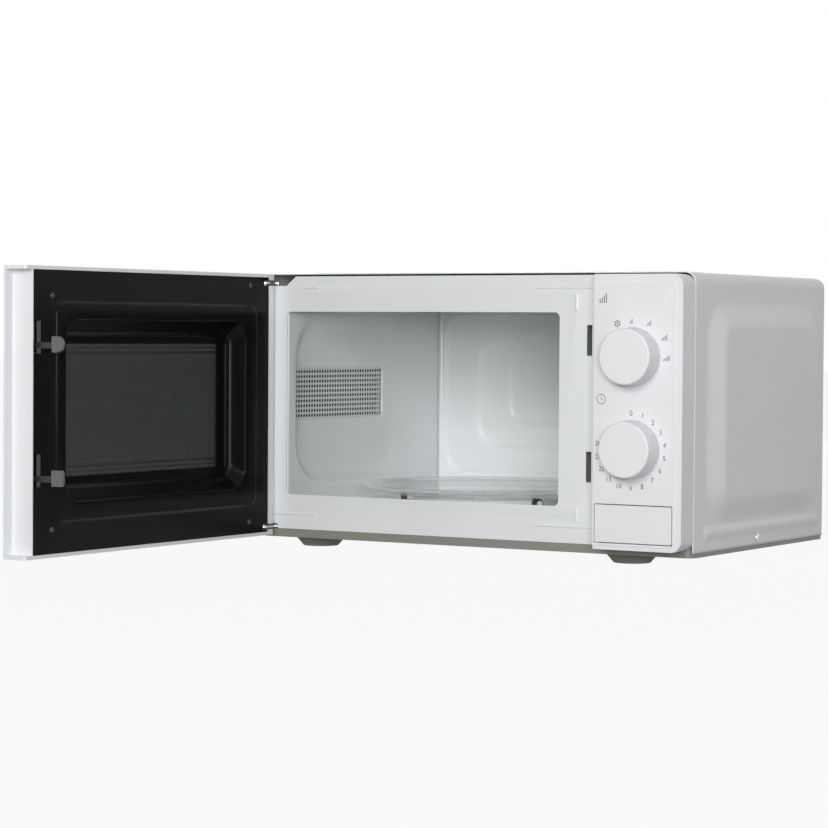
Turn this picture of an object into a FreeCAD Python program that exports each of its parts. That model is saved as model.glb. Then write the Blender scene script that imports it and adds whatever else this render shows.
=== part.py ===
import FreeCAD, Part

import math
import os

# Table-top microwave oven with a side-hung door, dials and a push-button door release.
# Frame: +X to the user's right, +Y to the back, +Z up. The origin is the middle of the
# case on the worktop. The door stands open square to the front. Lengths are in mm.

V = FreeCAD.Vector
ORIGIN = V(0, 0, 0)
X_AXIS = V(1, 0, 0)
Y_AXIS = V(0, 1, 0)
Z_AXIS = V(0, 0, 1)

# ---- general clearances -------------------------------------------------------------
RUN_FIT = 0.05            # radial gap of a shaft or pin in its hole
BODY_GAP = 0.4            # gap between pieces that move past each other
LOOSE_GAP = 0.8           # visible gap round knobs and buttons

# ---- case ---------------------------------------------------------------------------
CASE_WIDTH = 452.0
CASE_DEPTH = 288.0
CASE_TOP = 256.5          # top of the case above the worktop
CASE_BOTTOM = 14.0        # lower edge of the case sides above the worktop
CASE_SHEET = 0.7
CASE_CORNER = 10.0        # radius of the long top edges and the rear edges
CASE_REAR_LIP = 16.0      # width of the turned-in rear edge
SIDE_PAD_HEIGHT = 6.0     # how far each side is pressed outward
SIDE_PAD_FRONT = 25.0     # front of the side pad behind the case front
SIDE_PAD_REAR = 267.0
SIDE_PAD_BOTTOM = 40.0
SIDE_PAD_TOP = 229.0
SIDE_PAD_SLOPE_Y = 27.0   # widths of its sloping borders
SIDE_PAD_SLOPE_Z = 18.0
SIDE_PAD_CORNER = 24.0
SIDE_RIB_HEIGHT = 1.6
SIDE_RIB_BOTTOM = 26.0
SIDE_RIB_TOP = 34.0
TOP_PAD_HEIGHT = 1.2
TOP_PAD_INSET = 24.0
TOP_PAD_SLOPE = 8.0

# ---- base and feet ------------------------------------------------------------------
FOOT_HEIGHT = 10.0
FOOT_TOP_RADIUS = 25.0
FOOT_BOTTOM_RADIUS = 16.5
FOOT_LEFT_X = -186.0
FOOT_RIGHT_X = 145.0
FOOT_FRONT_SETBACK = 45.0
FOOT_REAR_SETBACK = 45.0
BASE_SHEET = 0.8
BASE_FLANGE = 18.0        # height of the base plate's turned-up edges

# ---- front plate and oven cavity ----------------------------------------------------
PLATE_SHEET = 0.8
PLATE_BOTTOM = 17.9
PLATE_TOP = 254.2
OPENING_LEFT = -195.9
OPENING_RIGHT = 94.3
OPENING_BOTTOM = 50.2
OPENING_TOP = 221.3
OPENING_CORNER = 5.0
CAVITY_SHEET = 0.7
CAVITY_RIGHT = 112.0
CAVITY_FLOOR = 40.0
CAVITY_CEILING = 240.0
CAVITY_BACK = 279.5       # inside of the rear wall behind the case front
CAVITY_FLANGE = 9.0
LEFT_PRESS_DEPTH = 8.0    # the left wall is pressed outward round the vent
LEFT_PRESS_OUTLINE = (15.5, 263.0, 57.5, 223.0)      # front, rear (setbacks), bottom, top
LEFT_PRESS_CORNER = 46.0
LEFT_PRESS_FLOOR = (24.5, 198.0, 66.0, 204.5)        # the same, where it is deepest
LEFT_PRESS_FLOOR_CORNER = 34.0
BACK_PRESS_STEP = 1.6     # the rear wall is pressed outward in nested steps
BACK_PRESS_SLOPE = 5.0
BACK_PRESSINGS = (        # half width, bottom, top, corner radius
    (148.5, 60.0, 220.0, 24.0),
    (111.0, 86.0, 199.0, 26.0),
    (76.0, 110.0, 190.0, 24.0),
)
VENT_FRONT = 26.0
VENT_COLUMNS = 34
VENT_ROWS = 10
VENT_PITCH_Y = 4.5
VENT_PITCH_Z = 4.65
VENT_BOTTOM = 120.4
VENT_HOLE_RADIUS = 1.5
SLOT_X = 124.2            # middle of the latch slots
SLOT_WIDTH = 5.3
SLOT_HEIGHT = 27.2
LOWER_SLOT_BOTTOM = 71.9
UPPER_SLOT_BOTTOM = 183.0

# ---- control panel ------------------------------------------------------------------
PANEL_LEFT = 141.2
PANEL_BOTTOM = 16.2
PANEL_TOP = 254.3
PANEL_DEPTH = 24.5
PANEL_WALL = 2.4
PANEL_CORNER = 10.0
PANEL_BORDER = 7.0        # width of the sloping border of the face
PANEL_BORDER_DROP = 0.8
KNOB_X = 180.2
POWER_KNOB_Z = 183.3
TIMER_KNOB_Z = 103.7
KNOB_FACE_RADIUS = 24.2
KNOB_BASE_RADIUS = 25.4
KNOB_HEIGHT = 19.5        # face of a knob in front of the panel
KNOB_WALL = 2.2
SHAFT_RADIUS = 3.0
BUTTON_LEFT = 143.6
BUTTON_RIGHT = 217.2
BUTTON_BOTTOM = 22.7
BUTTON_TOP = 55.1
BUTTON_TRAVEL = 5.0

# ---- door ---------------------------------------------------------------------------
PIVOT_X = -215.0
PIVOT_SETBACK = 10.0      # pivot axis in front of the front plate
DOOR_THICKNESS = 24.0     # front skin to black inner face
DOOR_GAP = 3.0            # closed gap from the inner face to the front plate
DOOR_RIGHT = 140.2
DOOR_BOTTOM = 11.8
DOOR_TOP = 256.2
DOOR_RIM = 3.2            # thickness of the top and bottom rims
DOOR_SKIN = 2.7
DOOR_WALL = 2.2
DOOR_SIDE_SETBACK = 9.0   # the free end wall stands back from the skin's edge
DOOR_HINGE_ARC = 9.2      # radius of the rounded hinge end about the pivot
RING_LEFT = -192.0
RING_RIGHT = 102.0
RING_BOTTOM = 40.5
RING_TOP = 227.0
RING_CORNER = 10.0
RING_HEIGHT = 2.0
RECESS_LEFT = -166.0
RECESS_RIGHT = 89.0
RECESS_BOTTOM = 57.0
RECESS_TOP = 212.0
RECESS_CORNER = 18.0
RECESS_DEPTH = 15.5       # from the inner face to the screen
RECESS_SLOPE_X = 3.0      # how far the dish's walls lean inward
RECESS_SLOPE_Z = 13.0
SCREEN_MARGIN_X = 16.0
SCREEN_MARGIN_Z = 21.0
INNER_SHEET = 0.8
WINDOW_THICKNESS = 2.5
WINDOW_MARGIN = 12.0      # window opening beyond the recess
LATCH_THICKNESS = 3.0
LATCH_REACH = 27.0        # hook tip beyond the inner face
LATCH_HEAD_LENGTH = 11.5
LATCH_HEAD_HEIGHT = 13.5

# ---- turntable ----------------------------------------------------------------------
TURNTABLE_X = -51.0
TURNTABLE_SETBACK = 136.0
TRAY_RADIUS = 122.5
TRAY_THICKNESS = 4.0
TRAY_RIM_RISE = 5.5
WHEEL_RADIUS = 4.8
WHEEL_WIDTH = 6.0
WHEEL_TRACK = 84.0        # distance of the wheels from the turntable axis
WHEEL_COUNT = 3
COUPLER_RADIUS = 17.0
DRIVE_SHAFT_RADIUS = 3.5
MOTOR_RADIUS = 25.0
MOTOR_HEIGHT = 15.0

# ---- worked-out places --------------------------------------------------------------
HALF_WIDTH = CASE_WIDTH / 2
FRONT = -CASE_DEPTH / 2   # front of the case and of the front plate
REAR = CASE_DEPTH / 2
PLATE_BACK = FRONT + PLATE_SHEET
PANEL_FRONT = FRONT - PANEL_DEPTH
DOOR_INNER = FRONT - DOOR_GAP
DOOR_FRONT = DOOR_INNER - DOOR_THICKNESS
PIVOT = V(PIVOT_X, FRONT - PIVOT_SETBACK, 0)
DOOR_END_WALL = DOOR_RIGHT - DOOR_SIDE_SETBACK
BASE_TOP = FOOT_HEIGHT + BASE_SHEET
CAVITY_LEFT = OPENING_LEFT
TABLE_AXIS = V(TURNTABLE_X, FRONT + TURNTABLE_SETBACK, 0)
BAY_LEFT = CAVITY_RIGHT + CAVITY_SHEET      # left side of the component bay
BACK_PANEL_REAR = REAR - CASE_SHEET
BACK_PANEL_SHEET = 0.8
BACK_PANEL_FRONT = BACK_PANEL_REAR - BACK_PANEL_SHEET

# ---- case screws --------------------------------------------------------------------
SCREW_RADIUS = 1.8
SCREW_HEAD_RADIUS = 4.0
SCREW_HEAD_HEIGHT = 2.0
SCREW_LENGTH = 6.0
SIDE_SCREW_Z = 20.5
SIDE_SCREW_SETBACK = 132.0
REAR_SCREW_X = (-205.0, 0.0, 205.0)
REAR_SCREW_Z = CASE_TOP - 9.0 - SCREW_HEAD_RADIUS + 2.0

# ---- base plate ---------------------------------------------------------------------
BASE_HALF = HALF_WIDTH - CASE_SHEET
BASE_CORNER = 9.0
BASE_VENT_ROWS = 5
BASE_VENT_PITCH = 12.0

# ---- fan place and cord inlet -------------------------------------------------------
FAN_X = 169.0
FAN_Z = 188.0
FAN_RADIUS = 45.0
CORD_X = 196.0
CORD_Z = 42.0
CORD_BORE = 4.0           # radius of the mains cord's hole
GLAND_RADIUS = 8.0
GLAND_FLANGE = 11.0

# ---- front plate details ------------------------------------------------------------
RIDGE_HEIGHT = 0.7
RIDGE_WIDTH = 3.2
NOTCH_BOTTOM = 245.5
NOTCH_RIGHT_LOW = -196.5
NOTCH_RIGHT_HIGH = -185.0
LOWER_NOTCH_TOP = 22.5
LOWER_NOTCH_RIGHT = -205.0
PLATE_WINDOW_LEFT = 148.0
PLATE_WINDOW_RIGHT = 219.0
PLATE_WINDOW_BOTTOM = 26.0
PLATE_WINDOW_TOP = 244.0

# ---- lamp and waveguide port --------------------------------------------------------
LAMP_SETBACK = 228.0
LAMP_Z = 205.0
PORT_FRONT = 118.0        # waveguide port in the cavity's right wall
PORT_REAR = 176.0
PORT_BOTTOM = 172.0
PORT_TOP = 222.0

# ---- knobs and their shafts ---------------------------------------------------------
KNOB_GAP = 0.8            # knob clear of the panel face
KNOB_BOSS_RADIUS = 6.5
SHAFT_ENTRY = 12.0        # length of shaft inside a knob's boss
UNIT_FRONT = PANEL_FRONT + PANEL_WALL     # timer and selector fix to the panel's back
SHAFT_INNER = UNIT_FRONT + 12.0

# ---- timer and power selector -------------------------------------------------------
TIMER_WIDTH = 50.0
TIMER_HEIGHT = 46.0
TIMER_DEPTH = 34.0
SELECTOR_WIDTH = 40.0
SELECTOR_HEIGHT = 38.0
SELECTOR_DEPTH = 22.0
BELL_RADIUS = 15.0

# ---- door release -------------------------------------------------------------------
BUTTON_WALL = 2.0
BUTTON_SIDE = 10.0        # depth of the button's skirt
RIB_X = 156.0             # rib of the button that meets the lever
LEVER_PIVOT = V(0, FRONT + 8.0, 66.0)
LEVER_PIN_RADIUS = 2.0
LEVER_LEFT = 121.8
LEVER_WIDTH = 4.6
LEVER_ARM_DROP = 22.0     # from the pivot down to the button's rib
LEVER_REACH = 16.0        # from the pivot back to the lifting toe
BRACKET_LEFT = CAVITY_RIGHT + CAVITY_FLANGE / 2 + 0.1
BRACKET_RIGHT = 138.5
BRACKET_DEPTH = 42.0
BRACKET_BOTTOM = 66.5
BRACKET_TOP = 222.0
POCKET_LEFT = 119.6
POCKET_RIGHT = 130.0
SPRING_X = 200.0
SPRING_Z = 39.0
SPRING_RADIUS = 4.0
SPRING_WIRE = 0.5
SPRING_BACK = FRONT       # the button's spring stands on the ledge at the case front
SWITCH_HEIGHTS = (88.0, 184.0, 204.0)

# ---- hinges -------------------------------------------------------------------------
HINGE_SHEET = 2.0
TONGUE_HALF = 7.0
PIN_RADIUS = 2.5
PIN_LENGTH = 11.0
UPPER_TONGUE_Z = 247.0    # underside of the upper tongue
LOWER_TONGUE_Z = 18.5
TONGUE_ROOM = 1.5         # gap above and below a tongue inside the door
TONGUE_POCKET = 12.6      # radius of the door's pocket for a tongue
HINGE_BASE_LEFT = -224.0
HINGE_BASE_RIGHT = -206.0

# ---- door details -------------------------------------------------------------------
SCREEN_LEFT = RECESS_LEFT + SCREEN_MARGIN_X
SCREEN_RIGHT = RECESS_RIGHT - SCREEN_MARGIN_X
SCREEN_BOTTOM = RECESS_BOTTOM + SCREEN_MARGIN_Z
SCREEN_TOP = RECESS_TOP - SCREEN_MARGIN_Z
RECESS_FLOOR = DOOR_INNER - RECESS_DEPTH
FACE_LEFT = PIVOT_X + 2.7           # black inner face of the door
FACE_RIGHT = DOOR_END_WALL - 1.2
FACE_BOTTOM = DOOR_BOTTOM + DOOR_RIM
FACE_TOP = DOOR_TOP - DOOR_RIM
DOOR_SCREWS = ((105.5, 231.5), (-182.0, 245.0), (105.5, 35.5), (-182.0, 26.0))
DOOR_BOSS_RADIUS = 3.6
DOOR_SCREW_RADIUS = 1.4
DOOR_SCREW_HEAD = 2.6
WINDOW_LEFT = RECESS_LEFT - WINDOW_MARGIN
WINDOW_RIGHT = RECESS_RIGHT + WINDOW_MARGIN
WINDOW_BOTTOM = RECESS_BOTTOM - WINDOW_MARGIN
WINDOW_TOP = RECESS_TOP + WINDOW_MARGIN
WINDOW_CORNER = 14.0
WINDOW_LAP = 6.0          # edge of the window behind the skin
HINGE_BOX_RIGHT = PIVOT_X + 9.0
LATCH_BAR_Y = DOOR_INNER - 9.0

# ---- latch --------------------------------------------------------------------------
LATCH_X = SLOT_X - 0.45   # middle of the hooks
LATCH_DOWN = 3.0          # the spring pulls the hooks this far down behind the catches
LATCH_UP = 4.0
LATCH_BAR_WIDTH = 6.0
LATCH_SPRING_X = 117.0
LATCH_POST_Z = 104.0
LATCH_LUG_Z = 134.0
LATCH_HOOKS = (LOWER_SLOT_BOTTOM + 1.0, UPPER_SLOT_BOTTOM + 1.0)

# ---- turntable details --------------------------------------------------------------
WHEEL_TOP = CAVITY_FLOOR + 2 * WHEEL_RADIUS + 0.2
TRAY_BOTTOM = WHEEL_TOP + 0.3
RING_Z = CAVITY_FLOOR + WHEEL_RADIUS + 0.2      # height of the wheels' axles
SHAFT_TOP = CAVITY_FLOOR + 9.0
MOTOR_TOP = CAVITY_FLOOR - CAVITY_SHEET
RING_BAR = 5.0
RING_RADIUS = WHEEL_TRACK - 12.0
AXLE_RADIUS = 2.0

# ---- waveguide and magnetron --------------------------------------------------------
GUIDE_DEPTH = 32.0        # waveguide, measured from the cavity's right wall
GUIDE_SHEET = 1.0
MAGNETRON_SETBACK = 147.0
MAGNETRON_Z = 197.0
YOKE_LEFT = BAY_LEFT + GUIDE_DEPTH
YOKE_LENGTH = 62.0
YOKE_DEPTH = 84.0
YOKE_HEIGHT = 70.0
YOKE_SHEET = 1.5
ANTENNA_RADIUS = 7.5
ANODE_RADIUS = 20.0
FIN_COUNT = 6

# ---- transformer --------------------------------------------------------------------
CORE_LEFT = 124.0
CORE_WIDTH = 80.0
CORE_SETBACK = 128.0      # front of the transformer core behind the case front
CORE_STACK = 62.0
CORE_HEIGHT = 72.0
LEG = 14.0

# ---- capacitor ----------------------------------------------------------------------
CAP_X = 186.0
CAP_SETBACK = 78.0
CAP_HALF_WIDTH = 26.0
CAP_HALF_DEPTH = 16.0
CAP_HEIGHT = 92.0

# ---- fan shroud and motor -----------------------------------------------------------
FAN_SHROUD_DEPTH = 24.0
FAN_SHROUD_HALF = 50.0
FAN_BLADES = 5
FAN_MOTOR_SETBACK = 46.0  # middle of the motor in front of the shroud's rear

# ---- filter board -------------------------------------------------------------------
BOARD_X = 121.0


# ---- shape helpers ------------------------------------------------------------------
def box(x0, x1, y0, y1, z0, z1):
    return Part.makeBox(x1 - x0, y1 - y0, z1 - z0, V(x0, y0, z0))


def rod(start, axis, length, radius):
    return Part.makeCylinder(radius, length, start, axis)


def tube(start, axis, length, outer, inner):
    return rod(start, axis, length, outer).cut(rod(start, axis, length, inner))


def at(axis, level, u, v):
    """Point on the plane across an axis: u and v run along the other two, in X, Y, Z order."""
    return {"x": V(level, u, v), "y": V(u, level, v), "z": V(u, v, level)}[axis]


def rounded_wire(axis, level, u0, u1, v0, v1, radius):
    """Closed outline of a rectangle with round corners, on the plane across an axis."""
    k = radius * (1 - math.sqrt(0.5))
    corners = (
        ((u1 - radius, v0), (u1 - k, v0 + k), (u1, v0 + radius)),
        ((u1, v1 - radius), (u1 - k, v1 - k), (u1 - radius, v1)),
        ((u0 + radius, v1), (u0 + k, v1 - k), (u0, v1 - radius)),
        ((u0, v0 + radius), (u0 + k, v0 + k), (u0 + radius, v0)),
    )
    edges = []
    for i, corner in enumerate(corners):
        start, middle, end = [at(axis, level, *p) for p in corner]
        following = at(axis, level, *corners[(i + 1) % 4][0])
        edges.append(Part.Arc(start, middle, end).toShape())
        edges.append(Part.makeLine(end, following))
    return Part.Wire(edges)


def slab(axis, a0, a1, u0, u1, v0, v1, radius):
    """Plate from a0 to a1 along an axis, with round corners across it."""
    face = Part.Face(rounded_wire(axis, a0, u0, u1, v0, v1, radius))
    return face.extrude(at(axis, a1 - a0, 0, 0))


def pad(axis, a0, a1, u0, u1, v0, v1, radius, slope_u, slope_v):
    """Pressed pad: its outline at a0 shrinks by its slopes at a1."""
    low = rounded_wire(axis, a0, u0, u1, v0, v1, radius)
    inner = max(radius - max(slope_u, slope_v), radius / 3)
    high = rounded_wire(axis, a1, u0 + slope_u, u1 - slope_u, v0 + slope_v, v1 - slope_v, inner)
    return Part.makeLoft([low, high], True, True)


def prism(axis, a0, a1, points):
    """Straight-sided plate whose outline is a list of (u, v) points."""
    corners = [at(axis, a0, *p) for p in points]
    face = Part.Face(Part.makePolygon(corners + corners[:1]))
    return face.extrude(at(axis, a1 - a0, 0, 0))


def edges_at(shape, test):
    """Edges whose two ends and middle all pass a test on their position."""
    found = []
    for edge in shape.Edges:
        points = [vertex.Point for vertex in edge.Vertexes] + [edge.CenterOfMass]
        if all(test(p) for p in points):
            found.append(edge)
    return found


def near(a, b):
    return abs(a - b) < 0.01


def fuse_all(shapes):
    first = shapes[0]
    return first.multiFuse(shapes[1:]).removeSplitter() if len(shapes) > 1 else first


def mirrored_x(shape):
    return shape.mirror(ORIGIN, X_AXIS)


def opened(shape):
    """The door's pieces are made closed, then swung open square about the pivot."""
    turned = shape.copy()
    turned.rotate(PIVOT, Z_AXIS, -90)
    return turned


# ---- case, base, feet, back ---------------------------------------------------------
def case_envelope(inset, bottom, front_extra):
    half = HALF_WIDTH - inset
    top = CASE_TOP - inset
    rear = REAR - inset
    block = box(-half, half, FRONT - front_extra, rear, bottom, top)

    def rounded(p):
        on_side = near(abs(p.x), half)
        return (on_side and near(p.z, top)) or (near(p.y, rear) and (on_side or near(p.z, top)))

    return block.makeFillet(CASE_CORNER - inset, edges_at(block, rounded))


def side_pad(inset):
    x = HALF_WIDTH - inset
    outline = (FRONT + SIDE_PAD_FRONT, FRONT + SIDE_PAD_REAR, SIDE_PAD_BOTTOM, SIDE_PAD_TOP)
    return pad("x", x, x + SIDE_PAD_HEIGHT, *outline, SIDE_PAD_CORNER, SIDE_PAD_SLOPE_Y,
               SIDE_PAD_SLOPE_Z)


def side_rib(inset):
    x = HALF_WIDTH - inset
    outline = (FRONT + SIDE_PAD_FRONT, FRONT + SIDE_PAD_REAR - 9, SIDE_RIB_BOTTOM, SIDE_RIB_TOP)
    return pad("x", x, x + SIDE_RIB_HEIGHT, *outline, 3.9, 2.4, 2.4)


def top_pad(inset):
    z = CASE_TOP - inset
    half = HALF_WIDTH - TOP_PAD_INSET
    return pad("z", z, z + TOP_PAD_HEIGHT, -half, half, FRONT + TOP_PAD_INSET,
               REAR - TOP_PAD_INSET, 20.0, TOP_PAD_SLOPE, TOP_PAD_SLOPE)


def pressed_case(inset, bottom, front_extra):
    """Case envelope with its pressed pads, shrunk by inset for the hollow."""
    right = side_pad(inset).fuse(side_rib(inset))
    pressings = [right, mirrored_x(right), top_pad(inset)]
    return case_envelope(inset, bottom, front_extra).multiFuse(pressings)


def outer_case():
    shell = pressed_case(0.0, CASE_BOTTOM, 0.0).cut(pressed_case(CASE_SHEET, CASE_BOTTOM - 5, 5.0))
    half = HALF_WIDTH - CASE_REAR_LIP
    window = slab("y", REAR - 5, REAR + 5, -half, half, CASE_BOTTOM - 30,
                  CASE_TOP - CASE_REAR_LIP, 12.0)
    holes = []
    for side in (-1, 1):
        start = V(side * (HALF_WIDTH - 4), FRONT + SIDE_SCREW_SETBACK, SIDE_SCREW_Z)
        holes.append(rod(start, V(side, 0, 0), 8, SCREW_RADIUS + 0.1))
    for x in REAR_SCREW_X:
        holes.append(rod(V(x, REAR - 4, REAR_SCREW_Z), Y_AXIS, 8, SCREW_RADIUS + 0.1))
    return shell.cut(window).cut(Part.makeCompound(holes)).removeSplitter()


def screw(seat, direction, head_radius=SCREW_HEAD_RADIUS, radius=SCREW_RADIUS):
    """Pan-head screw: the head rises from the seat along direction, the shank runs back."""
    head = rod(seat, direction, SCREW_HEAD_HEIGHT, head_radius)
    rim = [e for e in head.Edges if e.Curve.TypeId == "Part::GeomCircle"]
    outer = max(rim, key=lambda e: e.CenterOfMass.dot(direction))
    head = head.makeFillet(SCREW_HEAD_HEIGHT * 0.6, [outer])
    cross = []
    side = V(0, 0, 1) if abs(direction.z) < 0.5 else V(1, 0, 0)
    other = direction.cross(side)
    for along, across in ((side, other), (other, side)):
        corner = seat + direction * (SCREW_HEAD_HEIGHT - 0.9) - along * 1.8 - across * 0.35
        points = [corner, corner + along * 3.6, corner + along * 3.6 + across * 0.7,
                  corner + across * 0.7, corner]
        cross.append(Part.Face(Part.makePolygon(points)).extrude(direction * 2))
    shank = rod(seat - direction * SCREW_LENGTH, direction, SCREW_LENGTH, radius)
    return head.fuse(shank).cut(cross[0].fuse(cross[1]))


def case_screws():
    screws = []
    for side in (-1, 1):
        seat = V(side * HALF_WIDTH, FRONT + SIDE_SCREW_SETBACK, SIDE_SCREW_Z)
        screws.append(screw(seat, V(side, 0, 0)))
    for x in REAR_SCREW_X:
        screws.append(screw(V(x, REAR, REAR_SCREW_Z), Y_AXIS))
    return Part.makeCompound(screws)


def base_plate():
    """Tray under the oven with turned-up edges inside the case sides, cut open for air."""
    front = PLATE_BACK
    rear = BACK_PANEL_FRONT
    top = BASE_TOP + BASE_FLANGE
    tray = slab("z", FOOT_HEIGHT, top, -BASE_HALF, BASE_HALF, front, rear, BASE_CORNER)
    tray = tray.cut(slab("z", BASE_TOP, top + 1, -BASE_HALF + BASE_SHEET, BASE_HALF - BASE_SHEET,
                         front + BASE_SHEET, rear - BASE_SHEET, BASE_CORNER - BASE_SHEET))
    cuts = []
    for i in range(BASE_VENT_ROWS):
        x = FOOT_RIGHT_X - 5 + i * BASE_VENT_PITCH
        cuts.append(slab("z", 0, 20, x, x + 4, REAR - 60, REAR - 20, 1.9))
        cuts.append(slab("z", 0, 20, -x - 4, -x, -40, 40, 1.9))
    for side in (-1, 1):
        start = V(side * (BASE_HALF - 4), FRONT + SIDE_SCREW_SETBACK, SIDE_SCREW_Z)
        cuts.append(rod(start, V(side, 0, 0), 8, SCREW_RADIUS))
    cuts.append(box(-BASE_HALF + BASE_SHEET, HINGE_BASE_RIGHT + 1, FRONT - 1, PLATE_BACK + 5,
                    LOWER_TONGUE_Z - 1, top + 1))
    return tray.cut(Part.makeCompound(cuts))


def foot(x, y):
    """Moulded conical foot with a recess under it for its screw."""
    cone = Part.makeCone(FOOT_BOTTOM_RADIUS, FOOT_TOP_RADIUS, FOOT_HEIGHT, V(x, y, 0), Z_AXIS)
    low = min(cone.Edges, key=lambda e: e.BoundBox.ZMax)
    cone = cone.makeFillet(1.2, [low])
    recess = rod(V(x, y, -1), Z_AXIS, 5, 5.0)
    return cone.cut(recess)


def foot_places():
    front_y = FRONT + FOOT_FRONT_SETBACK
    rear_y = REAR - FOOT_REAR_SETBACK
    return {
        "foot_front_left": (FOOT_LEFT_X, front_y),
        "foot_front_right": (FOOT_RIGHT_X, front_y),
        "foot_rear_left": (FOOT_LEFT_X, rear_y),
        "foot_rear_right": (FOOT_RIGHT_X, rear_y),
    }


def back_panel():
    """Flat rear panel inside the case's rear lip, slotted for the fan and the exhaust."""
    half = HALF_WIDTH - CASE_CORNER
    top = CASE_TOP - CASE_CORNER
    panel = slab("y", BACK_PANEL_FRONT, BACK_PANEL_REAR, -half, half, CASE_BOTTOM - 2, top, 5.0)
    cuts = []
    for row in range(8):
        z = FAN_Z - 35 + row * 10
        width = math.sqrt(max(FAN_RADIUS ** 2 - (z - FAN_Z) ** 2, 100))
        for x0, x1 in ((-width, -3), (3, width)):
            cuts.append(slab("y", REAR - 6, REAR + 6, FAN_X + x0, FAN_X + x1, z - 2.2, z + 2.2, 2.1))
    for column in range(9):
        x = -200 + column * 9
        cuts.append(slab("y", REAR - 6, REAR + 6, x, x + 4, 70, 110, 1.9))
    cuts.append(rod(V(CORD_X, REAR - 6, CORD_Z), Y_AXIS, 12, GLAND_RADIUS))
    for x in REAR_SCREW_X:
        cuts.append(rod(V(x, REAR - 6, REAR_SCREW_Z), Y_AXIS, 12, SCREW_RADIUS))
    return panel.cut(Part.makeCompound(cuts))


def cord_gland():
    """Collar in the rear panel that the mains cord passes through."""
    start = BACK_PANEL_FRONT - 5
    barrel = rod(V(CORD_X, start, CORD_Z), Y_AXIS, 5 + BACK_PANEL_SHEET, GLAND_RADIUS)
    flange = rod(V(CORD_X, BACK_PANEL_REAR, CORD_Z), Y_AXIS, 3.0, GLAND_FLANGE)
    rim = max((e for e in flange.Edges), key=lambda e: e.BoundBox.YMin)
    flange = flange.makeFillet(1.0, [rim])
    bore = rod(V(CORD_X, start - 1, CORD_Z), Y_AXIS, 20, CORD_BORE)
    return barrel.fuse(flange).cut(bore)


# ---- front plate and cavity ---------------------------------------------------------
def ridge(x0, x1, z0, z1):
    return pad("y", FRONT, FRONT - RIDGE_HEIGHT, x0, x1, z0, z1, RIDGE_WIDTH / 2 - 0.05, 0.9, 0.9)


def plate_ridges():
    """Shallow pressed ridges near the four corners of the front plate."""
    w = RIDGE_WIDTH
    return [
        ridge(-182.0, -161.0, 242.2, 242.2 + w),
        ridge(70.0, 127.5, 241.6, 241.6 + w),
        ridge(109.5, 109.5 + w, 222.0, 238.0),
        ridge(70.0, 127.5, 31.0, 31.0 + w),
        ridge(111.0, 111.0 + w, 36.5, 49.0),
        ridge(-208.0, -162.0, 30.5, 30.5 + w),
        ridge(-213.5, -213.5 + w, 36.0, 73.0),
    ]


def front_plate():
    half = HALF_WIDTH - CASE_SHEET - 0.3
    plate = slab("y", FRONT, PLATE_BACK, -half, half, PLATE_BOTTOM, PLATE_TOP, CASE_CORNER)
    plate = plate.multiFuse(plate_ridges())
    y0 = FRONT - 5
    y1 = FRONT + 5
    slot0 = SLOT_X - SLOT_WIDTH / 2
    slot1 = SLOT_X + SLOT_WIDTH / 2
    cuts = [
        slab("y", y0, y1, OPENING_LEFT, OPENING_RIGHT, OPENING_BOTTOM, OPENING_TOP,
             OPENING_CORNER),
        slab("y", y0, y1, PLATE_WINDOW_LEFT, PLATE_WINDOW_RIGHT, PLATE_WINDOW_BOTTOM,
             PLATE_WINDOW_TOP, 6.0),
        prism("y", y0, y1, [(-half - 1, NOTCH_BOTTOM), (NOTCH_RIGHT_LOW, NOTCH_BOTTOM),
                            (NOTCH_RIGHT_HIGH, PLATE_TOP + 1), (-half - 1, PLATE_TOP + 1)]),
        box(-half - 1, LOWER_NOTCH_RIGHT, y0, y1, PLATE_BOTTOM - 1, LOWER_NOTCH_TOP),
    ]
    for bottom in (LOWER_SLOT_BOTTOM, UPPER_SLOT_BOTTOM):
        cuts.append(slab("y", y0, y1, slot0, slot1, bottom, bottom + SLOT_HEIGHT, 0.8))
    return plate.cut(Part.makeCompound(cuts)).removeSplitter()


def press_left(x, depth):
    """Pad that presses the left wall outward from x by depth, long and shallow at its rear."""
    outlines = []
    for level, sizes, radius in ((x, LEFT_PRESS_OUTLINE, LEFT_PRESS_CORNER),
                                 (x - depth, LEFT_PRESS_FLOOR, LEFT_PRESS_FLOOR_CORNER)):
        front, rear, bottom, top = sizes
        outlines.append(rounded_wire("x", level, FRONT + front, FRONT + rear, bottom, top, radius))
    return Part.makeLoft(outlines, True, True)


def press_back(y):
    """Nested pads that press the rear wall outward from y."""
    middle = (CAVITY_LEFT + CAVITY_RIGHT) / 2
    steps = []
    for i, (half, bottom, top, radius) in enumerate(BACK_PRESSINGS):
        start = y + i * BACK_PRESS_STEP - (0.3 if i else 0.0)
        steps.append(pad("y", start, y + (i + 1) * BACK_PRESS_STEP, middle - half, middle + half,
                         bottom, top, radius, BACK_PRESS_SLOPE, BACK_PRESS_SLOPE))
    return fuse_all(steps)


def cavity_volume(inset):
    """Space inside the cavity, grown by inset on every wall but the front."""
    left = CAVITY_LEFT - inset
    back = FRONT + CAVITY_BACK + inset
    room = box(left, CAVITY_RIGHT + inset, PLATE_BACK - (0 if inset else 1), back,
               CAVITY_FLOOR - inset, CAVITY_CEILING + inset)
    return room.multiFuse([press_left(left, LEFT_PRESS_DEPTH), press_back(back)])


def vent_window(x0, x1):
    """Block through the left wall, as wide and high as the vent grille."""
    y = FRONT + VENT_FRONT
    return box(x0, x1, y, y + VENT_COLUMNS * VENT_PITCH_Y, VENT_BOTTOM,
               VENT_BOTTOM + VENT_ROWS * VENT_PITCH_Z)


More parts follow.
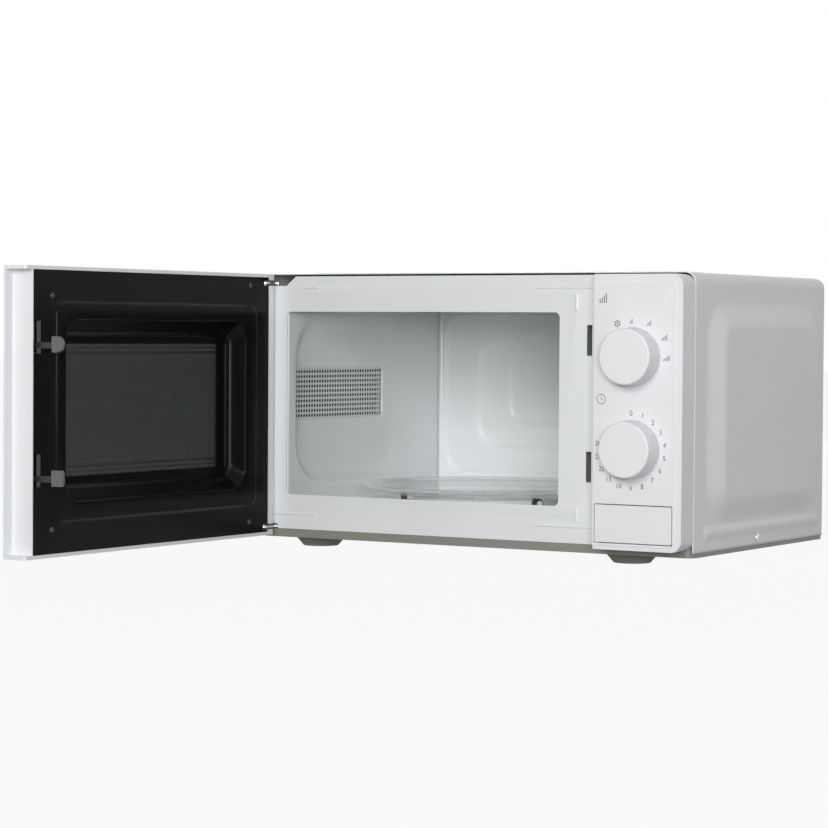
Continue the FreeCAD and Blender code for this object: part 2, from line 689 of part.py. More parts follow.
def cavity_shell():
    """Enamelled oven box, open at the front, with a turned-out flange behind the plate."""
    shell = cavity_volume(CAVITY_SHEET).cut(cavity_volume(0.0))
    flange = slab("y", PLATE_BACK, PLATE_BACK + CAVITY_SHEET, CAVITY_LEFT - CAVITY_FLANGE,
                  CAVITY_RIGHT + CAVITY_FLANGE / 2, CAVITY_FLOOR - CAVITY_FLANGE,
                  CAVITY_CEILING + CAVITY_FLANGE, 3.0)
    flange = flange.cut(box(CAVITY_LEFT, CAVITY_RIGHT, FRONT - 5, FRONT + 5, CAVITY_FLOOR,
                            CAVITY_CEILING))
    shell = shell.fuse(flange)
    vent_x = CAVITY_LEFT - LEFT_PRESS_DEPTH
    x0 = CAVITY_RIGHT - 5
    x1 = CAVITY_RIGHT + 5
    cuts = [
        vent_window(vent_x - 5, vent_x + 5),
        slab("x", x0, x1, FRONT + PORT_FRONT, FRONT + PORT_REAR, PORT_BOTTOM, PORT_TOP, 4.0),
        rod(TABLE_AXIS + V(0, 0, CAVITY_FLOOR - 5), Z_AXIS, 10, DRIVE_SHAFT_RADIUS + 2.0),
    ]
    for row in range(4):
        for column in range(4):
            start = V(x0, FRONT + LAMP_SETBACK - 9 + column * 6, LAMP_Z - 9 + row * 6)
            cuts.append(rod(start, X_AXIS, 10, 1.6))
    return shell.cut(Part.makeCompound(cuts)).removeSplitter()


def vent_grille():
    """Punched sheet that closes the window in the pressed left wall."""
    x = CAVITY_LEFT - LEFT_PRESS_DEPTH
    holes = []
    for row in range(VENT_ROWS):
        for column in range(VENT_COLUMNS):
            y = FRONT + VENT_FRONT + VENT_PITCH_Y * (column + 0.5)
            z = VENT_BOTTOM + VENT_PITCH_Z * (row + 0.5)
            holes.append(rod(V(x - 2, y, z), X_AXIS, 4, VENT_HOLE_RADIUS))
    return vent_window(x - CAVITY_SHEET, x).cut(Part.makeCompound(holes))


def waveguide_cover():
    """Mica sheet over the waveguide port, inside the right wall."""
    return slab("x", CAVITY_RIGHT - 1.0, CAVITY_RIGHT, FRONT + PORT_FRONT - 9,
                FRONT + PORT_REAR + 9, PORT_BOTTOM - 9, PORT_TOP + 9, 4.0)


# ---- control panel ------------------------------------------------------------------
def panel_block(inset):
    """Panel envelope: square at the door side, round at the outer corners."""
    left = PANEL_LEFT + inset
    right = HALF_WIDTH - inset
    bottom = PANEL_BOTTOM + inset
    top = PANEL_TOP - inset
    front = PANEL_FRONT + inset
    back = FRONT + (0.0 if inset == 0 else 1.0)
    block = box(left, right, front, back, bottom, top)
    corners = edges_at(block, lambda p: near(p.x, right) and (near(p.z, bottom) or near(p.z, top)))
    return block.makeFillet(PANEL_CORNER - inset, corners)


def panel_border():
    """Wedge cut round the face, so that the field stands slightly above its border."""
    left = PANEL_LEFT - 20
    right = HALF_WIDTH - PANEL_BORDER
    field = slab("y", PANEL_FRONT - 1, PANEL_FRONT + PANEL_BORDER_DROP, left, right,
                 PANEL_BOTTOM + PANEL_BORDER / 2, PANEL_TOP - PANEL_BORDER, 6.0)
    band = box(PANEL_LEFT - 1, HALF_WIDTH + 1, PANEL_FRONT - 1, PANEL_FRONT + PANEL_BORDER_DROP,
               PANEL_BOTTOM - 1, PANEL_TOP + 1)
    return band.cut(field)


def control_panel():
    panel = panel_block(0.0).cut(panel_block(PANEL_WALL)).cut(panel_border())
    panel = panel.fuse(spring_seat())
    y0 = PANEL_FRONT - 2
    y1 = PANEL_FRONT + 8
    cuts = []
    for z in (POWER_KNOB_Z, TIMER_KNOB_Z):
        cuts.append(rod(V(KNOB_X, y0, z), Y_AXIS, 10, SHAFT_RADIUS + LOOSE_GAP))
    cuts.append(slab("y", y0, y1, BUTTON_LEFT - LOOSE_GAP, BUTTON_RIGHT + LOOSE_GAP,
                     BUTTON_BOTTOM - LOOSE_GAP, BUTTON_TOP + LOOSE_GAP, 1.0))
    return panel.cut(Part.makeCompound(cuts)).removeSplitter()


def knob(z):
    """Round hollow knob with a slight taper, a plain face and a boss for its shaft."""
    face = PANEL_FRONT - KNOB_HEIGHT
    back = PANEL_FRONT - KNOB_GAP
    centre = V(KNOB_X, back, z)
    forward = V(0, -1, 0)
    height = back - face
    body = Part.makeCone(KNOB_BASE_RADIUS, KNOB_FACE_RADIUS, height, centre, forward)
    rim = min(body.Edges, key=lambda e: e.BoundBox.YMax)
    body = body.makeFillet(1.4, [rim])
    hollow = Part.makeCone(KNOB_BASE_RADIUS - KNOB_WALL, KNOB_FACE_RADIUS - KNOB_WALL,
                           height - KNOB_WALL, centre, forward)
    boss = rod(centre, forward, height - KNOB_WALL / 2, KNOB_BOSS_RADIUS)
    bore = rod(centre, forward, SHAFT_ENTRY, SHAFT_RADIUS)
    return body.cut(hollow).fuse(boss).cut(bore)


def shaft(z):
    """Dial shaft from its unit into the knob's boss."""
    end = PANEL_FRONT - KNOB_GAP - SHAFT_ENTRY
    return rod(V(KNOB_X, end, z), Y_AXIS, SHAFT_INNER - end, SHAFT_RADIUS)


def dial_unit(z, width, height, depth):
    """Housing behind the panel with a bore for its dial shaft and two fixing ears."""
    y0 = UNIT_FRONT
    body = slab("y", y0, y0 + depth, KNOB_X - width / 2, KNOB_X + width / 2, z - height / 2,
                z + height / 2, 3.0)
    ear = slab("y", y0, y0 + 2.0, KNOB_X - width / 2 - 7, KNOB_X + width / 2 + 7, z - 5, z + 5, 4.0)
    bore = rod(V(KNOB_X, y0 - 1, z), Y_AXIS, SHAFT_INNER - y0 + 1.3, SHAFT_RADIUS + RUN_FIT)
    return body.fuse(ear).cut(bore).removeSplitter()


def timer_unit():
    """Clockwork timer: gear housing, terminal block at its back and the bell's arm."""
    unit = dial_unit(TIMER_KNOB_Z, TIMER_WIDTH, TIMER_HEIGHT, TIMER_DEPTH)
    back = UNIT_FRONT + TIMER_DEPTH
    terminals = box(KNOB_X - 18, KNOB_X + 18, back - 1, back + 6, TIMER_KNOB_Z - 16,
                    TIMER_KNOB_Z - 4)
    arm = box(KNOB_X - 4, KNOB_X + 4, back - 12, back - 10, TIMER_KNOB_Z + TIMER_HEIGHT / 2 - 1,
              TIMER_KNOB_Z + TIMER_HEIGHT / 2 + 20)
    return fuse_all([unit, terminals, arm])


def bell():
    """Small steel gong on the timer's arm."""
    y = UNIT_FRONT + TIMER_DEPTH - 10
    centre = V(KNOB_X, y, TIMER_KNOB_Z + TIMER_HEIGHT / 2 + 17)
    cup = Part.makeCone(BELL_RADIUS, BELL_RADIUS - 4, 6, centre + V(0, 1, 0), Y_AXIS)
    inner = Part.makeCone(BELL_RADIUS - 1, BELL_RADIUS - 5, 5, centre + V(0, 1, 0), Y_AXIS)
    post = rod(centre, Y_AXIS, 7, 2.0)
    return cup.cut(inner).fuse(post)


def power_selector():
    return dial_unit(POWER_KNOB_Z, SELECTOR_WIDTH, SELECTOR_HEIGHT, SELECTOR_DEPTH)


# ---- door release -------------------------------------------------------------------
def door_button():
    """Hollow push button with a rear rib that works the release lever."""
    front = PANEL_FRONT
    skin = slab("y", front, front + BUTTON_SIDE, BUTTON_LEFT, BUTTON_RIGHT, BUTTON_BOTTOM,
                BUTTON_TOP, 1.2)
    hollow = slab("y", front + BUTTON_WALL, front + BUTTON_SIDE + 1, BUTTON_LEFT + BUTTON_WALL,
                  BUTTON_RIGHT - BUTTON_WALL, BUTTON_BOTTOM + BUTTON_WALL,
                  BUTTON_TOP - BUTTON_WALL, 0.6)
    button = skin.cut(hollow)
    rib_z = LEVER_PIVOT.z - LEVER_ARM_DROP
    rib_end = LEVER_PIVOT.y - LEVER_WIDTH / 2 - BODY_GAP
    rib = box(RIB_X - 4, RIB_X + 4, front + BUTTON_WALL / 2, rib_end, rib_z - 3, rib_z + 3)
    stem = rod(V(SPRING_X, front + BUTTON_WALL / 2, SPRING_Z), Y_AXIS, 9, 2.0)
    return fuse_all([button, rib, stem])


def coil(centre, axis_length, radius, wire, turns, along_y):
    """Close-fitting coil spring as stacked rings joined by a strip, from centre along its axis."""
    rings = []
    for i in range(turns):
        offset = wire + i * (axis_length - 2 * wire) / (turns - 1)
        rings.append(Part.makeTorus(radius, wire, V(0, 0, offset), Z_AXIS))
    strip = box(radius - wire * 0.6, radius + wire * 0.6, -wire * 0.6, wire * 0.6, wire,
                axis_length - wire)
    spring = strip.multiFuse(rings)
    if along_y:
        spring.rotate(ORIGIN, X_AXIS, -90)
    spring.translate(centre)
    return spring


def spring_seat():
    """Ledge of the panel's rear frame that backs the button's spring."""
    return box(SPRING_X - 8, HALF_WIDTH - PANEL_WALL + 0.5, SPRING_BACK - 2.0, SPRING_BACK,
               SPRING_Z - 7, SPRING_Z + 7)


def button_spring():
    start = PANEL_FRONT + BUTTON_WALL
    length = SPRING_BACK - 2.0 - start
    return coil(V(SPRING_X, start, SPRING_Z), length, SPRING_RADIUS, SPRING_WIRE, 7, True)


def release_lever():
    """Bell crank on a pin: the button pushes its lower arm, and its toe lifts the latch."""
    w = LEVER_WIDTH / 2
    y = LEVER_PIVOT.y
    z = LEVER_PIVOT.z
    barrel = rod(V(LEVER_LEFT, y, z), X_AXIS, RIB_X + 4 - LEVER_LEFT, 4.4)
    lower = box(RIB_X - 4, RIB_X + 4, y - w, y + w, z - LEVER_ARM_DROP - 4, z)
    toe = box(LEVER_LEFT, LEVER_LEFT + LEVER_WIDTH, y, y + LEVER_REACH, z - 2.4, z + 2.4)
    lever = fuse_all([barrel, lower, toe])
    return lever.cut(rod(V(LEVER_LEFT - 1, y, z), X_AXIS, 60, LEVER_PIN_RADIUS + RUN_FIT))


def lever_pin():
    start = BRACKET_LEFT
    return rod(V(start, LEVER_PIVOT.y, LEVER_PIVOT.z), X_AXIS, RIB_X + 9 - start, LEVER_PIN_RADIUS)


def latch_pocket(bottom):
    """Pocket of the interlock bracket behind a latch slot, with a catch ledge at its mouth."""
    z0 = bottom - 1.0
    z1 = bottom + SLOT_HEIGHT + 1.0
    pocket = box(POCKET_LEFT, POCKET_RIGHT, FRONT, FRONT + 34, z0 - 6, z1)
    ledge = box(POCKET_LEFT - 1, POCKET_RIGHT + 1, FRONT, FRONT + 10, z0 - 7, bottom + 0.6)
    return pocket.cut(ledge)


def interlock_bracket():
    """Moulded bracket behind the front plate: two latch pockets and the lever's cheeks."""
    y0 = PLATE_BACK
    block = box(BRACKET_LEFT, BRACKET_RIGHT, y0, FRONT + BRACKET_DEPTH, BRACKET_BOTTOM,
                BRACKET_TOP)
    middle = box(BRACKET_LEFT + 3, BRACKET_RIGHT + 1, y0 + 3, FRONT + BRACKET_DEPTH + 1,
                 LOWER_SLOT_BOTTOM + SLOT_HEIGHT + 4, UPPER_SLOT_BOTTOM - 11)
    cheek_y1 = LEVER_PIVOT.y + 7
    low = LEVER_PIVOT.z - 7
    cheeks = [
        box(BRACKET_LEFT, LEVER_LEFT - BODY_GAP, y0, cheek_y1, low, BRACKET_BOTTOM + 1),
        box(BRACKET_RIGHT - 3, BRACKET_RIGHT, y0, cheek_y1, low, BRACKET_BOTTOM + 1),
    ]
    bracket = block.cut(middle)
    for bottom in (LOWER_SLOT_BOTTOM, UPPER_SLOT_BOTTOM):
        bracket = bracket.cut(latch_pocket(bottom))
    bracket = bracket.cut(box(LEVER_LEFT - BODY_GAP, BRACKET_RIGHT - 3, FRONT, cheek_y1 + 14,
                              BRACKET_BOTTOM - 1, LOWER_SLOT_BOTTOM - 1))
    bracket = fuse_all([bracket] + cheeks)
    hole = rod(V(BRACKET_LEFT - 1, LEVER_PIVOT.y, LEVER_PIVOT.z), X_AXIS, 60, LEVER_PIN_RADIUS)
    lever_room = rod(V(BRACKET_RIGHT - 4, LEVER_PIVOT.y, LEVER_PIVOT.z), X_AXIS, 60, 4.4 + BODY_GAP)
    return bracket.cut(hole).cut(lever_room).fuse(lever_pin())


def interlock_switches():
    """Three snap-action switches on the bracket's side, each with a lever and terminals."""
    switches = []
    for z in SWITCH_HEIGHTS:
        x0 = BRACKET_RIGHT
        y0 = FRONT + 12
        case = slab("x", x0, x0 + 9, y0, y0 + 27, z - 8, z + 8, 1.5)
        blade = box(x0 + 3, x0 + 6, y0 - 2.5, y0 - 1.8, z - 7, z + 8)
        base = box(x0 + 3, x0 + 6, y0 - 2.5, y0 + 1, z - 7.5, z - 6)
        parts = [case, blade, base]
        for k in range(3):
            parts.append(box(x0 + 3, x0 + 6, y0 + 26, y0 + 33, z - 6 + k * 5.5, z - 5.2 + k * 5.5))
        switches.append(fuse_all(parts))
    return Part.makeCompound(switches)


# ---- hinges -------------------------------------------------------------------------
def hinge(tongue_z, base_z0, base_z1, pin_z):
    """Hinge bracket: plate behind the front plate, tongue through its notch, and the pin."""
    y1 = PLATE_BACK + HINGE_SHEET
    base = box(HINGE_BASE_LEFT, HINGE_BASE_RIGHT, PLATE_BACK, y1, base_z0, base_z1)
    tongue = box(PIVOT_X - TONGUE_HALF, PIVOT_X + TONGUE_HALF, PIVOT.y, y1, tongue_z,
                 tongue_z + HINGE_SHEET)
    nose = rod(PIVOT + V(0, 0, tongue_z), Z_AXIS, HINGE_SHEET, TONGUE_HALF)
    pin = rod(PIVOT + V(0, 0, pin_z), Z_AXIS, PIN_LENGTH + HINGE_SHEET, PIN_RADIUS)
    return fuse_all([base, tongue, nose, pin])


def upper_hinge():
    top = UPPER_TONGUE_Z + HINGE_SHEET
    return hinge(UPPER_TONGUE_Z, 212.0, top, UPPER_TONGUE_Z - PIN_LENGTH)


def lower_hinge():
    return hinge(LOWER_TONGUE_Z, LOWER_TONGUE_Z, 45.0, LOWER_TONGUE_Z)


# ---- door, made closed --------------------------------------------------------------
def door_outline():
    """Cross-section of the door: a rounded hinge end under an overhanging front skin."""
    px = PIVOT_X
    py = PIVOT.y
    rise = DOOR_INNER - py
    arc_x = math.sqrt(DOOR_HINGE_ARC ** 2 - rise ** 2)
    angle = math.pi - math.atan2(rise, arc_x) / 2
    start = V(px - arc_x, DOOR_INNER, DOOR_BOTTOM)
    middle = V(px + DOOR_HINGE_ARC * math.cos(angle), py + DOOR_HINGE_ARC * math.sin(angle),
               DOOR_BOTTOM)
    end = V(px - DOOR_HINGE_ARC, py, DOOR_BOTTOM)
    skin_back = DOOR_FRONT + DOOR_SKIN
    points = [end, V(px - DOOR_HINGE_ARC + 1.8, skin_back + 1.2, DOOR_BOTTOM),
              V(-HALF_WIDTH, skin_back, DOOR_BOTTOM), V(-HALF_WIDTH, DOOR_FRONT, DOOR_BOTTOM),
              V(DOOR_RIGHT, DOOR_FRONT, DOOR_BOTTOM), V(DOOR_RIGHT, DOOR_INNER, DOOR_BOTTOM),
              start]
    edges = [Part.makeLine(a, b) for a, b in zip(points, points[1:])]
    edges.append(Part.Arc(start, middle, end).toShape())
    return Part.Face(Part.Wire(edges))


def door_blank():
    """Solid block of the door frame with its front edges rounded."""
    block = door_outline().extrude(V(0, 0, DOOR_TOP - DOOR_BOTTOM))

    def front(p):
        return near(p.y, DOOR_FRONT)

    def free_corner(p):
        return near(p.x, DOOR_RIGHT) and near(p.y, DOOR_INNER)

    block = block.makeFillet(1.8, edges_at(block, front))
    return block.makeFillet(2.5, edges_at(block, free_corner))


def hinge_room():
    """Bores for the hinge pins, and pockets that the tongues turn in."""
    room = []
    for tongue_z, into in ((UPPER_TONGUE_Z, -1), (LOWER_TONGUE_Z, 1)):
        room.append(rod(PIVOT + V(0, 0, tongue_z - TONGUE_ROOM), Z_AXIS,
                        HINGE_SHEET + 2 * TONGUE_ROOM, TONGUE_POCKET))
        start = tongue_z + (HINGE_SHEET if into > 0 else 0)
        room.append(rod(PIVOT + V(0, 0, start), V(0, 0, into), PIN_LENGTH + 1,
                        PIN_RADIUS + RUN_FIT))
    return room


def door_frame():
    """White moulded surround, open behind, with a window opening and screw bosses."""
    skin_back = DOOR_FRONT + DOOR_SKIN
    back = DOOR_INNER + 1
    cuts = [
        box(DOOR_END_WALL, DOOR_RIGHT + 1, skin_back, back, FACE_BOTTOM, FACE_TOP),
        box(HINGE_BOX_RIGHT, DOOR_END_WALL - DOOR_WALL, skin_back, back, FACE_BOTTOM, FACE_TOP),
        box(FACE_LEFT, FACE_RIGHT, DOOR_INNER - INNER_SHEET, back, FACE_BOTTOM, FACE_TOP),
        box(PIVOT_X - 5.5, HINGE_BOX_RIGHT - 2, skin_back, DOOR_INNER - 3.5, FACE_BOTTOM + 30,
            FACE_TOP - 30),
        slab("y", DOOR_FRONT - 1, skin_back + 1, WINDOW_LEFT, WINDOW_RIGHT, WINDOW_BOTTOM,
             WINDOW_TOP, WINDOW_CORNER),
    ]
    frame = door_blank().cut(Part.makeCompound(hinge_room()))
    for piece in cuts:
        frame = frame.cut(piece)
    bosses = []
    for x, z in DOOR_SCREWS:
        start = V(x, skin_back - 0.5, z)
        bosses.append(rod(start, Y_AXIS, DOOR_INNER - INNER_SHEET - start.y, DOOR_BOSS_RADIUS))
    post = rod(V(LATCH_SPRING_X, skin_back - 0.5, LATCH_POST_Z), Y_AXIS, LATCH_BAR_Y - skin_back + 5,
               2.0)
    frame = frame.multiFuse(bosses + [post] + latch_guides())
    holes = [rod(V(x, DOOR_INNER - 8, z), Y_AXIS, 9, DOOR_SCREW_RADIUS) for x, z in DOOR_SCREWS]
    return frame.cut(Part.makeCompound(holes)).removeSplitter()


def door_window():
    """Smoked window pane let into the front skin, with a thin edge behind it."""
    pane = slab("y", DOOR_FRONT + 0.3, DOOR_FRONT + DOOR_SKIN, WINDOW_LEFT + 0.3,
                WINDOW_RIGHT - 0.3, WINDOW_BOTTOM + 0.3, WINDOW_TOP - 0.3, WINDOW_CORNER - 0.3)
    back = DOOR_FRONT + DOOR_SKIN + 1.3
    edge = slab("y", DOOR_FRONT + DOOR_SKIN, back, WINDOW_LEFT - WINDOW_LAP,
                WINDOW_RIGHT + WINDOW_LAP - 3, WINDOW_BOTTOM - WINDOW_LAP, WINDOW_TOP + WINDOW_LAP,
                WINDOW_CORNER)
    pane = pane.fuse(edge)
    for x, z in DOOR_SCREWS:
        pane = pane.cut(rod(V(x, DOOR_FRONT, z), Y_AXIS, 10, DOOR_BOSS_RADIUS + 0.3))
    return pane.removeSplitter()


def recess_tub(grow):
    """Dish of the inner panel, from the ring's top down to its floor."""
    return pad("y", DOOR_INNER + RING_HEIGHT, RECESS_FLOOR - grow, RECESS_LEFT - grow,
               RECESS_RIGHT + grow, RECESS_BOTTOM - grow, RECESS_TOP + grow,
               RECESS_CORNER + grow, RECESS_SLOPE_X, RECESS_SLOPE_Z)


def ring_pad(inset):
    y0 = DOOR_INNER - (1.0 if inset else 0.0)
    return pad("y", y0, DOOR_INNER + RING_HEIGHT - inset, RING_LEFT + inset, RING_RIGHT - inset,
               RING_BOTTOM + inset, RING_TOP - inset, RING_CORNER, 1.6, 1.6)


def door_inner_panel():
    """Black steel pressing: flat border, raised ring and the dish round the screen."""
    border = slab("y", DOOR_INNER - INNER_SHEET, DOOR_INNER, FACE_LEFT, FACE_RIGHT, FACE_BOTTOM,
                  FACE_TOP, 1.5)
    panel = border.multiFuse([ring_pad(0.0), recess_tub(INNER_SHEET)])
    panel = panel.cut(ring_pad(INNER_SHEET).cut(recess_tub(INNER_SHEET)))
    panel = panel.cut(recess_tub(0.0))
    cuts = hinge_room() + [slab("y", RECESS_FLOOR - 5, RECESS_FLOOR + 5, SCREEN_LEFT, SCREEN_RIGHT,
                 SCREEN_BOTTOM, SCREEN_TOP, 2.0)]
    for bottom in (LOWER_SLOT_BOTTOM, UPPER_SLOT_BOTTOM):
        cuts.append(box(SLOT_X - 4.5, FACE_RIGHT + 1, DOOR_INNER - 3, DOOR_INNER + 3, bottom,
                        bottom + SLOT_HEIGHT))
    for x, z in DOOR_SCREWS:
        cuts.append(rod(V(x, DOOR_INNER - 5, z), Y_AXIS, 10, DOOR_SCREW_RADIUS))
    return panel.cut(Part.makeCompound(cuts)).removeSplitter()


def door_screen():
    """Sheet that fills the dish's floor; its holes are too fine to model here."""
    return slab("y", RECESS_FLOOR - INNER_SHEET, RECESS_FLOOR, SCREEN_LEFT, SCREEN_RIGHT,
                SCREEN_BOTTOM, SCREEN_TOP, 2.0)


def door_choke():
    """Steel channel behind the ring that stops radiation at the door's edge."""
    margin = 3.5
    depth = 14.5
    back = DOOR_INNER + RING_HEIGHT - INNER_SHEET
    wall = 0.8
    outline = (RING_LEFT + margin, RING_RIGHT - margin, RING_BOTTOM + margin, RING_TOP - margin)
    outer = slab("y", back - depth, back, *outline, RING_CORNER)
    u0, u1, v0, v1 = outline
    inner = slab("y", back - depth + wall, back + 1, u0 + wall, u1 - wall, v0 + wall, v1 - wall,
                 RING_CORNER - wall)
    gap = 1.0
    opening = slab("y", back - depth - 1, back + 1, RECESS_LEFT - gap - INNER_SHEET,
                   RECESS_RIGHT + gap + INNER_SHEET, RECESS_BOTTOM - gap - INNER_SHEET,
                   RECESS_TOP + gap + INNER_SHEET, RECESS_CORNER)
    return outer.cut(inner).cut(opening)


def door_screws():
    screws = []
    for x, z in DOOR_SCREWS:
        seat = V(x, DOOR_INNER, z)
        head = Part.makeCone(DOOR_SCREW_HEAD, DOOR_SCREW_HEAD - 0.8, 0.9, seat, Y_AXIS)
        shank = rod(seat - V(0, 7, 0), Y_AXIS, 7, DOOR_SCREW_RADIUS)
        screws.append(head.fuse(shank))
    return Part.makeCompound(screws)


# ---- latch, made closed -------------------------------------------------------------
def latch_guides():
    """Two pairs of ribs on the frame that the latch bar slides between."""
    guides = []
    for z in (143.0, 168.0):
        for x0, x1 in ((LATCH_X - LATCH_BAR_WIDTH / 2 - 1.9, LATCH_X - LATCH_BAR_WIDTH / 2 - 0.4),
                       (LATCH_X + LATCH_BAR_WIDTH / 2 + 0.4, DOOR_END_WALL - DOOR_WALL + 0.5)):
            guides.append(box(x0, x1, DOOR_FRONT + DOOR_SKIN - 0.5, LATCH_BAR_Y + 3, z, z + 8))
    return guides


def latch_hook(bottom):
    """Hook plate: arm through the door's slot and a head with a drop nose."""
    x0 = LATCH_X - LATCH_THICKNESS / 2
    tip = DOOR_INNER + LATCH_REACH
    head_y = tip - LATCH_HEAD_LENGTH
    top = bottom + LATCH_HEAD_HEIGHT
    points = [(LATCH_BAR_Y, bottom + 3.2), (head_y, bottom + 3.2), (head_y, bottom + 0.2),
              (head_y + 2.5, bottom), (tip - 5, bottom + 1), (tip, bottom + 7), (tip - 1, top - 3),
              (tip - 4, top), (head_y + 1, top), (head_y, top - 1), (head_y - 1, bottom + 8.5),
              (LATCH_BAR_Y, bottom + 8.5)]
    return prism("x", x0, x0 + LATCH_THICKNESS, points)


def door_latch():
    """Sliding bar with both hooks and a lug for the latch spring."""
    x0 = LATCH_X - LATCH_BAR_WIDTH / 2
    bar = box(x0, x0 + LATCH_BAR_WIDTH, LATCH_BAR_Y - 2, LATCH_BAR_Y + 2,
              LATCH_HOOKS[0] + 1, LATCH_HOOKS[1] + 12)
    lug = box(LATCH_SPRING_X - 2, x0 + 1, LATCH_BAR_Y - 1.5, LATCH_BAR_Y + 1.5, LATCH_LUG_Z,
              LATCH_LUG_Z + 3)
    return fuse_all([bar, lug] + [latch_hook(z) for z in LATCH_HOOKS])


def latch_spring():
    """Extension spring from the frame's post up to the latch's lug."""
    start = LATCH_POST_Z + 2.0
    return coil(V(LATCH_SPRING_X, LATCH_BAR_Y, start), LATCH_LUG_Z - start, 2.6, 0.4, 12, False)


# ---- turntable ----------------------------------------------------------------------
def turntable_motor():
    """Flat synchronous gear motor under the cavity floor, with two ears."""
    base = TABLE_AXIS + V(0, 0, MOTOR_TOP - MOTOR_HEIGHT)
    can = rod(base, Z_AXIS, MOTOR_HEIGHT, MOTOR_RADIUS)
    ears = slab("z", MOTOR_TOP - 1.2, MOTOR_TOP, TURNTABLE_X - 34, TURNTABLE_X + 34,
                TABLE_AXIS.y - 7, TABLE_AXIS.y + 7, 6.5)
    plug = box(TURNTABLE_X - 9, TURNTABLE_X + 9, TABLE_AXIS.y + MOTOR_RADIUS - 3,
               TABLE_AXIS.y + MOTOR_RADIUS + 7, MOTOR_TOP - 12, MOTOR_TOP - 4)
    bore = rod(base + V(0, 0, MOTOR_HEIGHT - 9), Z_AXIS, 20, DRIVE_SHAFT_RADIUS + RUN_FIT)
    return fuse_all([can, ears, plug]).cut(bore)


def drive_shaft():
    start = MOTOR_TOP - 9 + 0.5
    return rod(TABLE_AXIS + V(0, 0, start), Z_AXIS, SHAFT_TOP - start, DRIVE_SHAFT_RADIUS)


def turntable_coupler():
    """Three-armed hub on the drive shaft that carries and turns the tray."""
    z0 = CAVITY_FLOOR + 1.0
    hub = rod(TABLE_AXIS + V(0, 0, z0), Z_AXIS, TRAY_BOTTOM - z0 - 0.3, 8.0)
    arms = []
    for i in range(3):
        arm = box(0, COUPLER_RADIUS, -3.5, 3.5, z0 + 2, TRAY_BOTTOM - 0.3)
        arm.rotate(ORIGIN, Z_AXIS, 90 + 120 * i)
        arm.translate(TABLE_AXIS)
        arms.append(arm)
    socket = rod(TABLE_AXIS, Z_AXIS, SHAFT_TOP, DRIVE_SHAFT_RADIUS)
    return fuse_all([hub] + arms).cut(socket)


def glass_turntable():
    """Glass tray: flat floor, raised rim, and three drive blocks between the hub's arms."""
    z0 = TRAY_BOTTOM
    t = TRAY_THICKNESS
    r = TRAY_RADIUS
    points = [(0, z0), (r - 22, z0), (r - 4, z0 + TRAY_RIM_RISE - 1), (r, z0 + TRAY_RIM_RISE + 1),
              (r, z0 + TRAY_RIM_RISE + 2.5), (r - 1.5, z0 + TRAY_RIM_RISE + t),
              (r - 5, z0 + TRAY_RIM_RISE + t - 1), (r - 23, z0 + t), (0, z0 + t)]
    outline = [V(x, 0, z) for x, z in points]
    tray = Part.Face(Part.makePolygon(outline + outline[:1])).revolve(ORIGIN, Z_AXIS, 360)
    blocks = []
    for i in range(3):
        block = slab("z", z0 - 3.5, z0 + 1, 10.0, 15.0, -4, 4, 1.0)
        block.rotate(ORIGIN, Z_AXIS, 150 + 120 * i)
        blocks.append(block)
    tray = fuse_all([tray] + blocks)
    tray.translate(TABLE_AXIS)
    return tray


def wheel_angles():
    return [90 + 360 / WHEEL_COUNT * i for i in range(WHEEL_COUNT)]


def roller_ring():
    """Plastic ring that carries three wheels on stub axles."""
    z0 = RING_Z - RING_BAR / 2
    ring = tube(TABLE_AXIS + V(0, 0, z0), Z_AXIS, RING_BAR, RING_RADIUS + RING_BAR / 2,
                RING_RADIUS - RING_BAR / 2)
    axles = []
    for angle in wheel_angles():
        length = WHEEL_TRACK + WHEEL_WIDTH / 2 + 1.6 - RING_RADIUS
        axle = rod(V(RING_RADIUS, 0, RING_Z), X_AXIS, length, AXLE_RADIUS)
        collar = rod(V(WHEEL_TRACK - WHEEL_WIDTH / 2 - 1.8, 0, RING_Z), X_AXIS, 1.4, 3.2)
        button = rod(V(WHEEL_TRACK + WHEEL_WIDTH / 2 + 0.4, 0, RING_Z), X_AXIS, 1.2, 2.8)
        carrier = fuse_all([axle, collar, button])
        carrier.rotate(ORIGIN, Z_AXIS, angle)
        carrier.translate(TABLE_AXIS)
        axles.append(carrier)
    return fuse_all([ring] + axles)


def roller_wheel(angle):
    """Wheel with a rounded tread, on one of the ring's axles."""
    start = V(WHEEL_TRACK - WHEEL_WIDTH / 2, 0, RING_Z)
    wheel = rod(start, X_AXIS, WHEEL_WIDTH, WHEEL_RADIUS)
    rims = [e for e in wheel.Edges if e.Curve.TypeId == "Part::GeomCircle"]
    wheel = wheel.makeFillet(1.0, rims)
    wheel = wheel.cut(rod(start - V(1, 0, 0), X_AXIS, WHEEL_WIDTH + 2, AXLE_RADIUS + RUN_FIT))
    wheel.rotate(ORIGIN, Z_AXIS, angle)
    wheel.translate(TABLE_AXIS)
    return wheel


